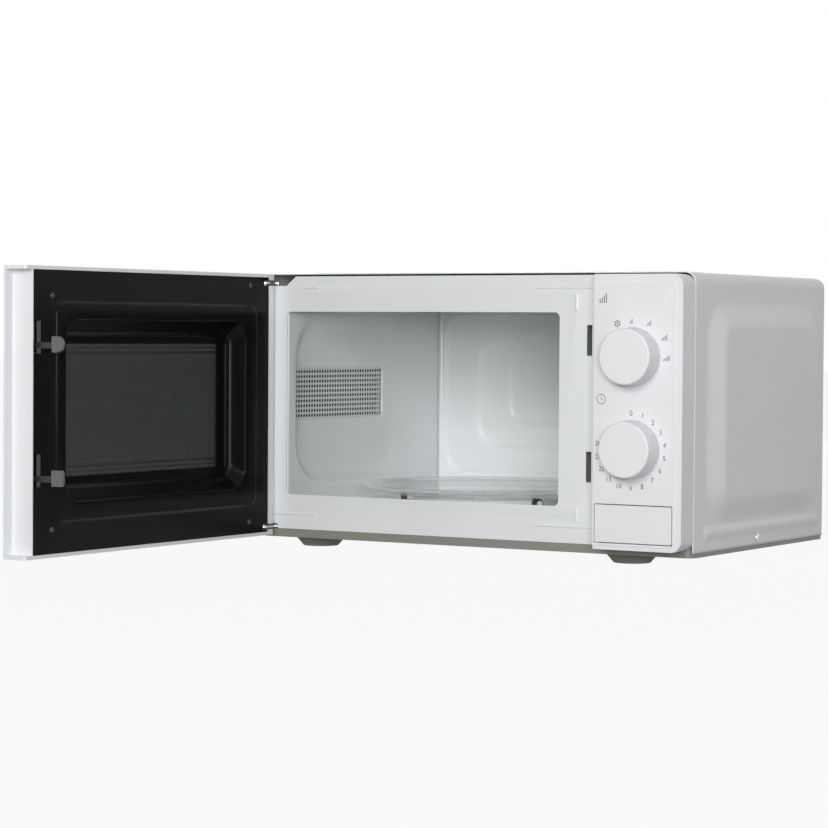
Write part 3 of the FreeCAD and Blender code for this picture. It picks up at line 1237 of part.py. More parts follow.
# ---- component bay ------------------------------------------------------------------
def waveguide():
    """Steel channel on the cavity's right wall, open to the port, with the antenna's hole."""
    x0 = BAY_LEFT
    x1 = x0 + GUIDE_DEPTH
    y0 = FRONT + PORT_FRONT - 5
    y1 = FRONT + PORT_REAR + 5
    z0 = PORT_BOTTOM - 12
    z1 = PORT_TOP + 8
    s = GUIDE_SHEET
    duct = box(x0, x1, y0, y1, z0, z1).cut(box(x0 - 1, x1 - s, y0 + s, y1 - s, z0 + s, z1 - s))
    flange = box(x0, x0 + s, y0 - 8, y1 + 8, z0, z1).cut(box(x0 - 1, x0 + 5, y0, y1, z0, z1))
    hole = rod(V(x0, FRONT + MAGNETRON_SETBACK, MAGNETRON_Z), X_AXIS, 60, ANTENNA_RADIUS + 1)
    return duct.fuse(flange).cut(hole).removeSplitter()


def magnetron_yoke():
    """Steel box frame round the magnetron's fins, open at the front and back for air."""
    y = FRONT + MAGNETRON_SETBACK
    x0 = YOKE_LEFT
    x1 = x0 + YOKE_LENGTH
    outer = box(x0, x1, y - YOKE_DEPTH / 2, y + YOKE_DEPTH / 2, MAGNETRON_Z - YOKE_HEIGHT / 2,
                MAGNETRON_Z + YOKE_HEIGHT / 2)
    s = YOKE_SHEET
    inner = box(x0 + s, x1 - s, y - YOKE_DEPTH, y + YOKE_DEPTH,
                MAGNETRON_Z - YOKE_HEIGHT / 2 + s, MAGNETRON_Z + YOKE_HEIGHT / 2 - s)
    hole = rod(V(x0 - 5, y, MAGNETRON_Z), X_AXIS, 20, ANTENNA_RADIUS + 0.5)
    filter_box = box(x1, x1 + 14, y - 22, y + 22, MAGNETRON_Z - 24, MAGNETRON_Z + 24)
    return outer.cut(inner).cut(hole).fuse(filter_box).removeSplitter()


def magnetron_core():
    """Anode cylinder with its ring magnets, cooling fins and antenna dome."""
    y = FRONT + MAGNETRON_SETBACK
    x0 = YOKE_LEFT + YOKE_SHEET
    x1 = YOKE_LEFT + YOKE_LENGTH - YOKE_SHEET
    axis = V(x0, y, MAGNETRON_Z)
    anode = rod(axis, X_AXIS, x1 - x0, ANODE_RADIUS)
    magnets = [rod(axis, X_AXIS, 11, 27.0), rod(V(x1 - 11, y, MAGNETRON_Z), X_AXIS, 11, 27.0)]
    fins = []
    pitch = (x1 - x0 - 26) / (FIN_COUNT - 1)
    for i in range(FIN_COUNT):
        x = x0 + 12.5 + i * pitch
        fins.append(box(x, x + 0.8, y - YOKE_DEPTH / 2 + 4, y + YOKE_DEPTH / 2 - 4,
                        MAGNETRON_Z - YOKE_HEIGHT / 2 + YOKE_SHEET,
                        MAGNETRON_Z + YOKE_HEIGHT / 2 - YOKE_SHEET))
    neck = rod(V(x0 - 18, y, MAGNETRON_Z), X_AXIS, 19, ANTENNA_RADIUS)
    dome = Part.makeSphere(ANTENNA_RADIUS, V(x0 - 18, y, MAGNETRON_Z))
    return fuse_all([anode] + magnets + fins + [neck, dome])


def transformer_core():
    """Laminated core with two windows and a foot flange welded under it."""
    x0 = CORE_LEFT
    x1 = x0 + CORE_WIDTH
    y0 = FRONT + CORE_SETBACK
    y1 = y0 + CORE_STACK
    z0 = BASE_TOP
    core = box(x0, x1, y0, y1, z0 + 2, z0 + 2 + CORE_HEIGHT)
    base = box(x0, x1, y0 - 9, y1 + 9, z0, z0 + 2)
    middle = (x0 + x1) / 2
    for u0, u1 in ((x0 + LEG, middle - LEG), (middle + LEG, x1 - LEG)):
        core = core.cut(box(u0, u1, y0 - 1, y1 + 1, z0 + 2 + LEG, z0 + 2 + CORE_HEIGHT - LEG))
    grooves = [box(x0 - 1, x1 + 1, y0 + k * 6.2, y0 + k * 6.2 + 0.4, z0 + CORE_HEIGHT + 1.4,
                   z0 + CORE_HEIGHT + 3) for k in range(1, 10)]
    return core.fuse(base).cut(Part.makeCompound(grooves)).removeSplitter()


def winding(z0, z1, spread):
    """Coil round the core's middle leg."""
    middle = CORE_LEFT + CORE_WIDTH / 2
    y0 = FRONT + CORE_SETBACK
    y1 = y0 + CORE_STACK
    outer = slab("z", z0, z1, middle - LEG - spread, middle + LEG + spread, y0 - spread,
                 y1 + spread, 9.0)
    return outer.cut(box(middle - LEG, middle + LEG, y0, y1, z0 - 1, z1 + 1))


def transformer_windings():
    z0 = BASE_TOP + 2 + LEG
    span = CORE_HEIGHT - 2 * LEG
    primary = winding(z0, z0 + span * 0.42, 11.0)
    secondary = winding(z0 + span * 0.5, z0 + span, 11.5)
    divider = winding(z0 + span * 0.42, z0 + span * 0.5, 9.5)
    return Part.makeCompound([primary, divider, secondary])


def capacitor():
    """Oval high-voltage capacitor standing on the base, with two terminals."""
    y = FRONT + CAP_SETBACK
    can = slab("z", BASE_TOP, BASE_TOP + CAP_HEIGHT, CAP_X - CAP_HALF_WIDTH,
               CAP_X + CAP_HALF_WIDTH, y - CAP_HALF_DEPTH, y + CAP_HALF_DEPTH,
               CAP_HALF_DEPTH - 0.1)
    tabs = []
    for x in (CAP_X - 11, CAP_X + 11):
        tabs.append(rod(V(x, y, BASE_TOP + CAP_HEIGHT), Z_AXIS, 4, 6))
        tabs.append(box(x - 0.4, x + 0.4, y - 3, y + 3, BASE_TOP + CAP_HEIGHT + 3,
                        BASE_TOP + CAP_HEIGHT + 12))
    return fuse_all([can] + tabs)


def capacitor_clamp():
    """Strap round the capacitor with a foot on the base plate."""
    y = FRONT + CAP_SETBACK
    z0 = BASE_TOP + 14
    wall = 0.9
    outer = slab("z", z0, z0 + 16, CAP_X - CAP_HALF_WIDTH - wall, CAP_X + CAP_HALF_WIDTH + wall,
                 y - CAP_HALF_DEPTH - wall, y + CAP_HALF_DEPTH + wall, CAP_HALF_DEPTH + wall - 0.1)
    inner = slab("z", z0 - 1, z0 + 17, CAP_X - CAP_HALF_WIDTH, CAP_X + CAP_HALF_WIDTH,
                 y - CAP_HALF_DEPTH, y + CAP_HALF_DEPTH, CAP_HALF_DEPTH - 0.1)
    x0 = CAP_X - CAP_HALF_WIDTH - wall
    leg = box(x0 - 0.8, x0 + 0.4, y - 8, y + 8, BASE_TOP, z0 + 16)
    toe = box(x0 - 13, x0 + 0.4, y - 8, y + 8, BASE_TOP, BASE_TOP + 1.2)
    return fuse_all([outer.cut(inner), leg.cut(inner), toe])


def high_voltage_diode():
    """Diode between the capacitor's terminal side and a tag on the base plate."""
    x = CAP_X - CAP_HALF_WIDTH - 20
    y = FRONT + CAP_SETBACK - 24
    body = rod(V(x, y, BASE_TOP + 14), Y_AXIS, 18, 4.0)
    leads = rod(V(x, y - 6, BASE_TOP + 14), Y_AXIS, 30, 0.8)
    tag = box(x - 4, x + 4, y - 6.8, y - 5.6, BASE_TOP, BASE_TOP + 18)
    tag_foot = box(x - 4, x + 4, y - 14, y - 5.6, BASE_TOP, BASE_TOP + 1.2)
    return fuse_all([body, leads, tag, tag_foot])


def fan_shroud():
    """Square moulded duct on the rear panel with three arms that hold the motor."""
    y1 = BACK_PANEL_FRONT
    y0 = y1 - FAN_SHROUD_DEPTH
    half = FAN_SHROUD_HALF
    duct = slab("y", y0, y1, FAN_X - half, FAN_X + half, FAN_Z - half, FAN_Z + half, 8.0)
    duct = duct.cut(rod(V(FAN_X, y0 - 1, FAN_Z), Y_AXIS, FAN_SHROUD_DEPTH + 2, FAN_RADIUS + 2.5))
    arms = []
    motor_face = y1 - FAN_MOTOR_SETBACK + 12
    for x in (FAN_X - 24, FAN_X + 24):
        arms.append(box(x - 3, x + 3, y0 - 3, y0 + 0.5, FAN_Z - half + 1, FAN_Z + half - 1))
        arms.append(box(x - 3, x + 3, motor_face, y0, FAN_Z - 12, FAN_Z + 12))
    return fuse_all([duct] + arms)


def fan_motor():
    """Shaded-pole motor: square lamination stack with a coil on one side."""
    y1 = BACK_PANEL_FRONT - FAN_MOTOR_SETBACK + 12
    y0 = y1 - 22
    stack = box(FAN_X - 24, FAN_X + 24, y0, y1, FAN_Z - 26, FAN_Z + 26)
    window = box(FAN_X - 17, FAN_X - 8, y0 - 1, y1 + 1, FAN_Z - 26 - 1, FAN_Z - 17)
    winding = slab("x", FAN_X - 14, FAN_X + 14, y0 - 7, y1 + 7, FAN_Z - 36, FAN_Z - 26, 4.0)
    bearing = rod(V(FAN_X, y1 - 1, FAN_Z), Y_AXIS, 5, 9)
    bore = rod(V(FAN_X, y0 + 4, FAN_Z), Y_AXIS, 40, 2.0 + RUN_FIT)
    return fuse_all([stack.cut(window), winding, bearing]).cut(bore)


def fan_blade():
    """Five-bladed fan with its hub and shaft."""
    y1 = BACK_PANEL_FRONT - 4
    y0 = y1 - 16
    hub = rod(V(0, y0, 0), Y_AXIS, 16, 12)
    blades = []
    for i in range(FAN_BLADES):
        blade = box(10, FAN_RADIUS, -0.8, 0.8, -11, 11)
        blade.rotate(ORIGIN, X_AXIS, 32)
        blade.translate(V(0, (y0 + y1) / 2, 0))
        blade.rotate(ORIGIN, Y_AXIS, 360 / FAN_BLADES * i)
        blades.append(blade)
    room = rod(V(0, y0 + 0.2, 0), Y_AXIS, 15.6, FAN_RADIUS)
    wings = blades[0].multiFuse(blades[1:]).common(room)
    axle_start = BACK_PANEL_FRONT - FAN_MOTOR_SETBACK + 12 - 18 + 0.6
    axle = rod(V(0, axle_start, 0), Y_AXIS, y0 + 4 - axle_start, 2.0)
    fan = fuse_all([hub, wings, axle])
    fan.translate(V(FAN_X, 0, FAN_Z))
    return fan


def lamp_holder():
    """Bracket on the cavity's right wall with a screw socket for the lamp."""
    y = FRONT + LAMP_SETBACK
    base = box(BAY_LEFT, BAY_LEFT + 1.2, y - 20, y - 13, LAMP_Z - 14, LAMP_Z + 14)
    shelf = box(BAY_LEFT, BAY_LEFT + 34, y - 14.2, y - 13, LAMP_Z - 14, LAMP_Z + 14)
    barrel = tube(V(BAY_LEFT + 20, y - 14, LAMP_Z), Y_AXIS, 9, 9.0, 7.2)
    return fuse_all([base, shelf, barrel])


def cavity_lamp():
    """Small incandescent lamp: threaded cap and glass bulb."""
    y = FRONT + LAMP_SETBACK - 13
    cap = rod(V(BAY_LEFT + 20, y, LAMP_Z), Y_AXIS, 12, 7.0)
    neck = Part.makeCone(6.6, 10.5, 6, V(BAY_LEFT + 20, y + 12, LAMP_Z), Y_AXIS)
    bulb = Part.makeSphere(10.8, V(BAY_LEFT + 20, y + 20, LAMP_Z))
    return fuse_all([cap, neck, bulb])


def filter_board():
    """Mains filter board on four posts on the cavity's right wall."""
    y0 = FRONT + 52
    board = box(BOARD_X, BOARD_X + 1.6, y0, y0 + 46, 172, 226)
    posts = []
    for y in (y0 + 5, y0 + 41):
        for z in (177, 221):
            posts.append(rod(V(BAY_LEFT, y, z), X_AXIS, BOARD_X - BAY_LEFT + 0.5, 2.5))
    return fuse_all([board] + posts)


def line_fuse():
    """Glass fuse in two clips on the filter board."""
    x = BOARD_X + 1.6
    y0 = FRONT + 52
    fuse_tube = rod(V(x + 4, y0 + 34, 177), Z_AXIS, 16, 2.6)
    clips = [box(x, x + 4, y0 + 31.5, y0 + 36.5, z, z + 3) for z in (177.5, 189.5)]
    return fuse_all([fuse_tube] + clips)


def filter_components():
    """Choke coil, suppressor capacitor and relay-sized block on the filter board."""
    x = BOARD_X + 1.6
    y0 = FRONT + 52
    winding = tube(V(x, y0 + 15, 210), X_AXIS, 12, 10, 4.5)
    block = slab("x", x, x + 11, y0 + 29, y0 + 42, 198, 222, 1.0)
    relay = slab("x", x, x + 15, y0 + 6, y0 + 24, 177, 192, 1.0)
    return Part.makeCompound([winding, block, relay, line_fuse()])


def thermal_cutouts():
    """Two disc thermostats: one on the magnetron's frame, one on the cavity's ceiling."""
    y = FRONT + MAGNETRON_SETBACK
    top = MAGNETRON_Z + YOKE_HEIGHT / 2
    first = rod(V(YOKE_LEFT + 30, y, top), Z_AXIS, 7, 8)
    roof = CAVITY_CEILING + CAVITY_SHEET
    second = rod(V(60, FRONT + 150, roof), Z_AXIS, 7, 8)
    tabs = []
    for centre, z in ((V(YOKE_LEFT + 30, y, 0), top + 7), (V(60, FRONT + 150, 0), roof + 7)):
        for side in (-4, 4):
            tabs.append(box(centre.x + side - 2, centre.x + side + 2, centre.y - 0.4,
                            centre.y + 0.4, z - 0.5, z + 5))
    return Part.makeCompound([fuse_all([first] + tabs[:2]), fuse_all([second] + tabs[2:])])


# ---- all pieces ---------------------------------------------------------------------
def root_pieces():
    pieces = {
        "outer_case": outer_case(),
        "case_screws": case_screws(),
        "base_plate": base_plate(),
        "back_panel": back_panel(),
        "cord_gland": cord_gland(),
        "front_plate": front_plate(),
        "cavity_shell": cavity_shell(),
        "vent_grille": vent_grille(),
        "waveguide_cover": waveguide_cover(),
        "control_panel": control_panel(),
        "interlock_bracket": interlock_bracket(),
        "interlock_switches": interlock_switches(),
        "upper_hinge": upper_hinge(),
        "lower_hinge": lower_hinge(),
        "timer_unit": timer_unit(),
        "bell": bell(),
        "power_selector": power_selector(),
        "turntable_motor": turntable_motor(),
        "waveguide": waveguide(),
        "magnetron_yoke": magnetron_yoke(),
        "magnetron_core": magnetron_core(),
        "transformer_core": transformer_core(),
        "transformer_windings": transformer_windings(),
        "capacitor": capacitor(),
        "capacitor_clamp": capacitor_clamp(),
        "high_voltage_diode": high_voltage_diode(),
        "fan_shroud": fan_shroud(),
        "fan_motor": fan_motor(),
        "lamp_holder": lamp_holder(),
        "cavity_lamp": cavity_lamp(),
        "filter_board": filter_board(),
        "filter_components": filter_components(),
        "thermal_cutouts": thermal_cutouts(),
    }
    for name, (x, y) in foot_places().items():
        pieces[name] = foot(x, y)
    return pieces


def door_pieces():
    closed = {
        "door_frame": door_frame(),
        "door_window": door_window(),
        "door_inner_panel": door_inner_panel(),
        "door_screen": door_screen(),
        "door_choke": door_choke(),
        "door_screws": door_screws(),
        "door_latch": door_latch(),
        "latch_spring": latch_spring(),
    }
    return {name: opened(shape) for name, shape in closed.items()}


def moving_pieces():
    pieces = {
        "door_button": door_button(),
        "button_spring": button_spring(),
        "release_lever": release_lever(),
        "power_knob": knob(POWER_KNOB_Z),
        "power_shaft": shaft(POWER_KNOB_Z),
        "timer_knob": knob(TIMER_KNOB_Z),
        "timer_shaft": shaft(TIMER_KNOB_Z),
        "fan_blade": fan_blade(),
        "drive_shaft": drive_shaft(),
        "turntable_coupler": turntable_coupler(),
        "glass_turntable": glass_turntable(),
        "roller_ring": roller_ring(),
    }
    for number, angle in enumerate(wheel_angles(), 1):
        pieces["roller_wheel_%d" % number] = roller_wheel(angle)
    return pieces


def main():
    os.makedirs("parts", exist_ok=True)
    for make in (root_pieces, door_pieces, moving_pieces):
        for name, shape in make().items():
            shape.exportStep(os.path.join("parts", name + ".step"))
            kind = "ok" if shape.isValid() else "NOT VALID"
            print(name, len(shape.Solids), "solids", round(shape.Volume / 1000, 1), "cm3", kind)


main()
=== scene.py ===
import bpy
import bmesh
import math
from mathutils import Matrix, Vector


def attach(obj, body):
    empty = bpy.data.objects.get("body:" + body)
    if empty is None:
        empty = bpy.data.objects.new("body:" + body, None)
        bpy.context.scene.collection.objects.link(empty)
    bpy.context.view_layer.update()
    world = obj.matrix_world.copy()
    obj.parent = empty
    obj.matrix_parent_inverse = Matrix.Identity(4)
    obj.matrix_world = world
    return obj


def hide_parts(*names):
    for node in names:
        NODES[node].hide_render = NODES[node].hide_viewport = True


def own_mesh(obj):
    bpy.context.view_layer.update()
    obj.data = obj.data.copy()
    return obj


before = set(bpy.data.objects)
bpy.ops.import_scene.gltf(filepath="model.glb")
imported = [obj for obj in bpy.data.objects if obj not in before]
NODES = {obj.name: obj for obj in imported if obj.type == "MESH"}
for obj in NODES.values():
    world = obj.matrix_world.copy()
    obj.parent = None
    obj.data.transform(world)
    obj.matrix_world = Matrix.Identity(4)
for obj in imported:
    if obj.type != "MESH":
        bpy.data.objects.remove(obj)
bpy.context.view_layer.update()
MM = 0.001

# ---- sizes of the oven, in millimetres ----------------------------------------------
FRONT = -144.0
REAR = 144.0
HALF_WIDTH = 226.0
CASE_TOP = 256.5
CASE_BOTTOM = 14.0
CASE_CORNER = 10.0
CASE_SHEET = 0.7
REAR_LIP = 16.0
PANEL_FRONT = FRONT - 24.5
KNOB_X = 180.2
POWER_Z = 183.3
TIMER_Z = 103.7
PIVOT = (-215.0, FRONT - 10.0)
DOOR_INNER = FRONT - 3.0
RECESS_FLOOR = DOOR_INNER - 15.5
SCREEN = (-150.0, 73.0, 78.0, 191.0)
CAVITY = (-195.9, 112.0, 40.0, 240.0)
CAVITY_BACK = FRONT + 279.5
CAVITY_CORNER = 4.0
CAVITY_SHEET = 0.7
VENT = (FRONT + 26.0, FRONT + 179.0, 120.4, 166.9)
VENT_COLUMNS, VENT_ROWS, VENT_HOLE = 34, 10, 1.7
THIN_SHEET = 0.25
TABLE = (-51.0, FRONT + 136.0)


def vec(x, y, z):
    """A point given in mm, in metres."""
    return Vector((x * MM, y * MM, z * MM))


def opened(x, y, z):
    """A point of the closed door, in mm, where it is with the door open square."""
    return vec(PIVOT[0] + (y - PIVOT[1]), PIVOT[1] - (x - PIVOT[0]), z)


def new_object(name, data):
    """Object with some data, linked into the scene."""
    item = bpy.data.objects.new(name, data)
    bpy.context.scene.collection.objects.link(item)
    return item


# ---- camera and studio --------------------------------------------------------------
CAMERA_PLACE = (1.23386, -2.24663, 0.20277)
CAMERA_ANGLES = (-31.5199, -1.7272, 0.3967)
CAMERA_LENS = 117.752


def make_camera():
    """Camera at the photograph's viewing angle, placed in metres and aimed by degrees."""
    yaw, pitch, roll = (math.radians(angle) for angle in CAMERA_ANGLES)
    ahead = Vector((math.sin(yaw) * math.cos(pitch), math.cos(yaw) * math.cos(pitch),
                    math.sin(pitch)))
    right = Vector((math.cos(yaw), -math.sin(yaw), 0.0))
    up = right.cross(ahead)
    side = math.cos(roll) * right + math.sin(roll) * up
    top = -math.sin(roll) * right + math.cos(roll) * up
    data = bpy.data.cameras.new("camera")
    data.sensor_width = 36.0
    data.lens = CAMERA_LENS
    data.clip_start, data.clip_end = 0.1, 50.0
    camera = new_object("camera", data)
    camera.matrix_world = Matrix((
        (side.x, top.x, -ahead.x, CAMERA_PLACE[0]), (side.y, top.y, -ahead.y, CAMERA_PLACE[1]),
        (side.z, top.z, -ahead.z, CAMERA_PLACE[2]), (0, 0, 0, 1)))
    bpy.context.scene.camera = camera
    bpy.context.scene.view_settings.view_transform = "Standard"


def mix_seen(nodes, links, kind, unseen, seen, most):
    """Output of a kind: one shader lights surfaces, and by at most a share another one is
    seen by the camera, in mirrors and through glass."""
    path = nodes.new("ShaderNodeLightPath")
    total = path.outputs["Is Camera Ray"]
    for ray in ("Is Glossy Ray", "Is Transmission Ray"):
        add = nodes.new("ShaderNodeMath")
        add.operation = "ADD"
        add.use_clamp = True
        links.new(total, add.inputs[0])
        links.new(path.outputs[ray], add.inputs[1])
        total = add.outputs[0]
    share = nodes.new("ShaderNodeMath")
    share.operation = "MULTIPLY"
    share.inputs[1].default_value = most
    out = nodes.new("ShaderNodeOutput" + kind)
    mix = nodes.new("ShaderNodeMixShader")
    links.new(total, share.inputs[0])
    links.new(share.outputs[0], mix.inputs["Fac"])
    links.new(unseen.outputs[0], mix.inputs[1])
    links.new(seen.outputs[0], mix.inputs[2])
    links.new(mix.outputs[0], out.inputs["Surface"])


def make_world():
    """White to the eye, in mirrors and through glass; a weak cool fill on surfaces."""
    world = bpy.data.worlds.new("studio")
    world.use_nodes = True
    bpy.context.scene.world = world
    nodes, links = world.node_tree.nodes, world.node_tree.links
    nodes.clear()
    soft = nodes.new("ShaderNodeBackground")
    soft.inputs["Color"].default_value = (0.97, 0.985, 1.0, 1)
    soft.inputs["Strength"].default_value = 0.10
    white = nodes.new("ShaderNodeBackground")
    white.inputs["Color"].default_value = (1, 1, 1, 1)
    white.inputs["Strength"].default_value = 1.0
    mix_seen(nodes, links, "World", soft, white, 1.0)


def area_light(name, place, target, size, power):
    """Rectangular white lamp of some size in metres and power in watts, aimed at a target."""
    data = bpy.data.lights.new(name, "AREA")
    data.shape = "RECTANGLE"
    data.size, data.size_y = size
    data.energy = power
    light = new_object(name, data)
    light.location = place
    aim = Vector(target) - Vector(place)
    light.rotation_euler = aim.to_track_quat("-Z", "Y").to_euler()


# name, place, target, size and power of each lamp
MIDDLE = (-0.02, -0.14, 0.13)
LIGHTS = (
    ("key", (1.46, -2.56, 0.377), MIDDLE, (0.95, 0.4), 29.0),
    ("key_high", (1.418, -2.488, 0.864), MIDDLE, (0.95, 0.55), 10.0),
    ("front_left", (0.47, -2.763, 1.006), MIDDLE, (1.1, 0.7), 25.0),
    ("front_high", (0.0, -2.0, 1.4), (0, -0.14, 0.12), (1.4, 1.0), 3.0),
    ("right_high", (1.0, 0.3, 1.4), (0.226, 0, 0.13), (0.6, 1.0), 3.2),
    ("right_panel", (1.9, 1.1, 0.5), (0.2, 0, 0.15), (0.5, 1.6), 4.0),
    ("back_fill", (-0.8, 2.5, 0.45), (0, 0, 0.12), (1.4, 0.8), 17),
)


def make_lights():
    """Soft studio lamps: front right and front left, and weak ones above, right and behind."""
    for light in LIGHTS:
        area_light(*light)


FLOOR_REACH = 12.0
FLOOR_GREY = 0.3
FLOOR_GLOW = 0.93


def make_floor():
    """Pale floor: near white to the eye, and a matt grey that keeps the shadow."""
    mesh = bpy.data.meshes.new("floor")
    s = FLOOR_REACH
    mesh.from_pydata([(-s, -s, 0), (s, -s, 0), (s, s, 0), (-s, s, 0)], [], [(0, 1, 2, 3)])
    floor = new_object("floor", mesh)
    mat = bpy.data.materials.new("floor")
    mat.use_nodes = True
    nodes, links = mat.node_tree.nodes, mat.node_tree.links
    nodes.clear()
    matt = nodes.new("ShaderNodeBsdfDiffuse")
    matt.inputs["Color"].default_value = (FLOOR_GREY, FLOOR_GREY, FLOOR_GREY, 1)
    glow = nodes.new("ShaderNodeEmission")
    glow.inputs["Strength"].default_value = 1.0
    mix_seen(nodes, links, "Material", matt, glow, FLOOR_GLOW)
    mesh.materials.append(mat)


# ---- materials ----------------------------------------------------------------------
def new_material(name, color, rough, metallic=0.0, **sockets):
    """Principled material; the caller adds its texture nodes."""
    mat = bpy.data.materials.new(name)
    mat.use_nodes = True
    shader = mat.node_tree.nodes["Principled BSDF"]
    shader.inputs["Base Color"].default_value = (*color, 1)
    shader.inputs["Roughness"].default_value = rough
    shader.inputs["Metallic"].default_value = metallic
    for key, value in sockets.items():
        shader.inputs[key.replace("_", " ")].default_value = value
    return mat


def texture(mat, kind, scale, stretch=(1, 1, 1), **settings):
    """Texture node driven by object coordinates in metres."""
    nodes, links = mat.node_tree.nodes, mat.node_tree.links
    where = nodes.new("ShaderNodeTexCoord")
    mapping = nodes.new("ShaderNodeMapping")
    mapping.inputs["Scale"].default_value = stretch
    tex = nodes.new("ShaderNodeTex" + kind)
    tex.inputs["Scale"].default_value = scale
    for key, value in settings.items():
        tex.inputs[key].default_value = value
    links.new(where.outputs["Object"], mapping.inputs["Vector"])
    links.new(mapping.outputs["Vector"], tex.inputs["Vector"])
    return tex


def tint(mat, tex, low, high, spread=(0.35, 0.65)):
    """Colour that wanders between low and high with the texture."""
    nodes, links = mat.node_tree.nodes, mat.node_tree.links
    ramp = nodes.new("ShaderNodeValToRGB")
    ramp.color_ramp.elements[0].position, ramp.color_ramp.elements[1].position = spread
    ramp.color_ramp.elements[0].color = (*low, 1)
    ramp.color_ramp.elements[1].color = (*high, 1)
    links.new(tex.outputs[0], ramp.inputs["Fac"])
    links.new(ramp.outputs["Color"], nodes["Principled BSDF"].inputs["Base Color"])


def roughen(mat, tex, low, high):
    """Roughness that wanders between low and high with the texture."""
    nodes, links = mat.node_tree.nodes, mat.node_tree.links
    span = nodes.new("ShaderNodeMapRange")
    span.inputs["To Min"].default_value = low
    span.inputs["To Max"].default_value = high
    links.new(tex.outputs[0], span.inputs["Value"])
    links.new(span.outputs[0], nodes["Principled BSDF"].inputs["Roughness"])


def bump(mat, tex, height, strength):
    """Bump of a height in metres, on top of any bump the material has."""
    nodes, links = mat.node_tree.nodes, mat.node_tree.links
    node = nodes.new("ShaderNodeBump")
    node.inputs["Distance"].default_value = height
    node.inputs["Strength"].default_value = strength
    links.new(tex.outputs[0], node.inputs["Height"])
    old = nodes["Principled BSDF"].inputs["Normal"]
    if old.links:
        links.new(old.links[0].from_socket, node.inputs["Normal"])
    links.new(node.outputs["Normal"], old)


def scaled(color, k):
    """Colour made lighter or darker by a factor."""
    return tuple(min(1.0, c * k) for c in color)


def enamel(name, color, rough, **sockets):
    """Baked enamel on sheet steel: faint orange peel, very slight tone drift."""
    mat = new_material(name, color, rough, **sockets)
    peel = texture(mat, "Noise", 420, Detail=2.0)
    bump(mat, peel, 0.00003, 0.35)
    drift = texture(mat, "Noise", 6, Detail=3.0)
    tint(mat, drift, scaled(color, 0.975), scaled(color, 1.015))
    roughen(mat, texture(mat, "Noise", 40, Detail=3.0), rough * 0.9, rough * 1.15)
    return mat


def moulded(name, color, rough):
    """Moulded plastic with a fine spark-eroded grain."""
    mat = new_material(name, color, rough)
    bump(mat, texture(mat, "Noise", 1600, Detail=2.0), 0.00004, 0.5)
    tint(mat, texture(mat, "Noise", 9, Detail=2.0), scaled(color, 0.975), scaled(color, 1.02))
    roughen(mat, texture(mat, "Noise", 60, Detail=3.0), rough * 0.88, rough * 1.18)
    return mat


def speckled(name, color):
    """Pale plastic with a fine mottled print."""
    mat = new_material(name, color, 0.42)
    spots = texture(mat, "Noise", 900, Detail=4.0, Roughness=0.75)
    tint(mat, spots, scaled(color, 0.955), scaled(color, 1.01), (0.38, 0.60))
    bump(mat, texture(mat, "Noise", 1500, Detail=2.0), 0.00003, 0.4)
    return mat


def brushed(name, color, rough=0.32):
    """Rolled or drawn metal with fine lines that run level."""
    mat = new_material(name, color, rough, 1.0)
    lines = texture(mat, "Noise", 260, (1, 1, 14), Detail=4.0)
    bump(mat, lines, 0.00002, 0.4)
    tint(mat, lines, scaled(color, 0.86), scaled(color, 1.06))
    roughen(mat, lines, rough * 0.75, rough * 1.35)
    return mat


def zinc(name, color):
    """Plated metal with a crystalline mottle."""
    mat = new_material(name, color, 0.35, 1.0)
    cells = texture(mat, "Voronoi", 260)
    tint(mat, cells, scaled(color, 0.86), scaled(color, 1.08), (0.1, 0.8))
    roughen(mat, texture(mat, "Noise", 300, Detail=3.0), 0.24, 0.45)
    return mat


def rubber(name, color):
    """Matt rubber with a coarse grain."""
    mat = new_material(name, color, 0.72)
    bump(mat, texture(mat, "Noise", 700, Detail=4.0), 0.00008, 0.6)
    tint(mat, texture(mat, "Noise", 45, Detail=4.0), scaled(color, 0.88), scaled(color, 1.10))
    roughen(mat, texture(mat, "Noise", 90, Detail=3.0), 0.6, 0.85)
    return mat


def glass(name, color, rough, **sockets):
    """Clear or tinted glass with faint smears."""
    mat = new_material(name, color, rough, **{"Transmission_Weight": 1.0, "IOR": 1.5, **sockets})
    roughen(mat, texture(mat, "Noise", 50, Detail=3.0), rough * 0.6, rough * 1.8)
    return mat


def wound_wire(name, color):
    """Enamelled copper wire in even turns, with painted shade in the grooves between them."""
    mat = new_material(name, color, 0.3, 0.85)
    turns = texture(mat, "Wave", 330, (0.02, 0.02, 1), Distortion=0.6, Detail=1.0)
    mat.node_tree.nodes["Wave Texture"].bands_direction = "Z"
    bump(mat, turns, 0.0004, 0.8)
    # painted shade: the colour darkens where the bump is low, in the grooves between turns
    tint(mat, turns, scaled(color, 0.45), scaled(color, 1.1), (0.15, 0.7))
    return mat


def laminated(name, color):
    """Stack of thin steel sheets, seen as fine lines."""
    mat = new_material(name, color, 0.45, 0.8)
    sheets = texture(mat, "Wave", 900, (0.001, 1, 0.001), Distortion=0.2)
    mat.node_tree.nodes["Wave Texture"].bands_direction = "Y"
    bump(mat, sheets, 0.00012, 0.6)
    tint(mat, texture(mat, "Noise", 60, Detail=5.0), scaled(color, 0.7), scaled(color, 1.3))
    return mat


def mica_sheet(name):
    """Pressed mica: pale flakes in a matt sheet."""
    mat = new_material(name, (0.62, 0.58, 0.5), 0.38)
    flakes = texture(mat, "Voronoi", 150)
    tint(mat, flakes, (0.52, 0.48, 0.40), (0.70, 0.66, 0.58), (0.05, 0.7))
    bump(mat, flakes, 0.00006, 0.5)
    return mat


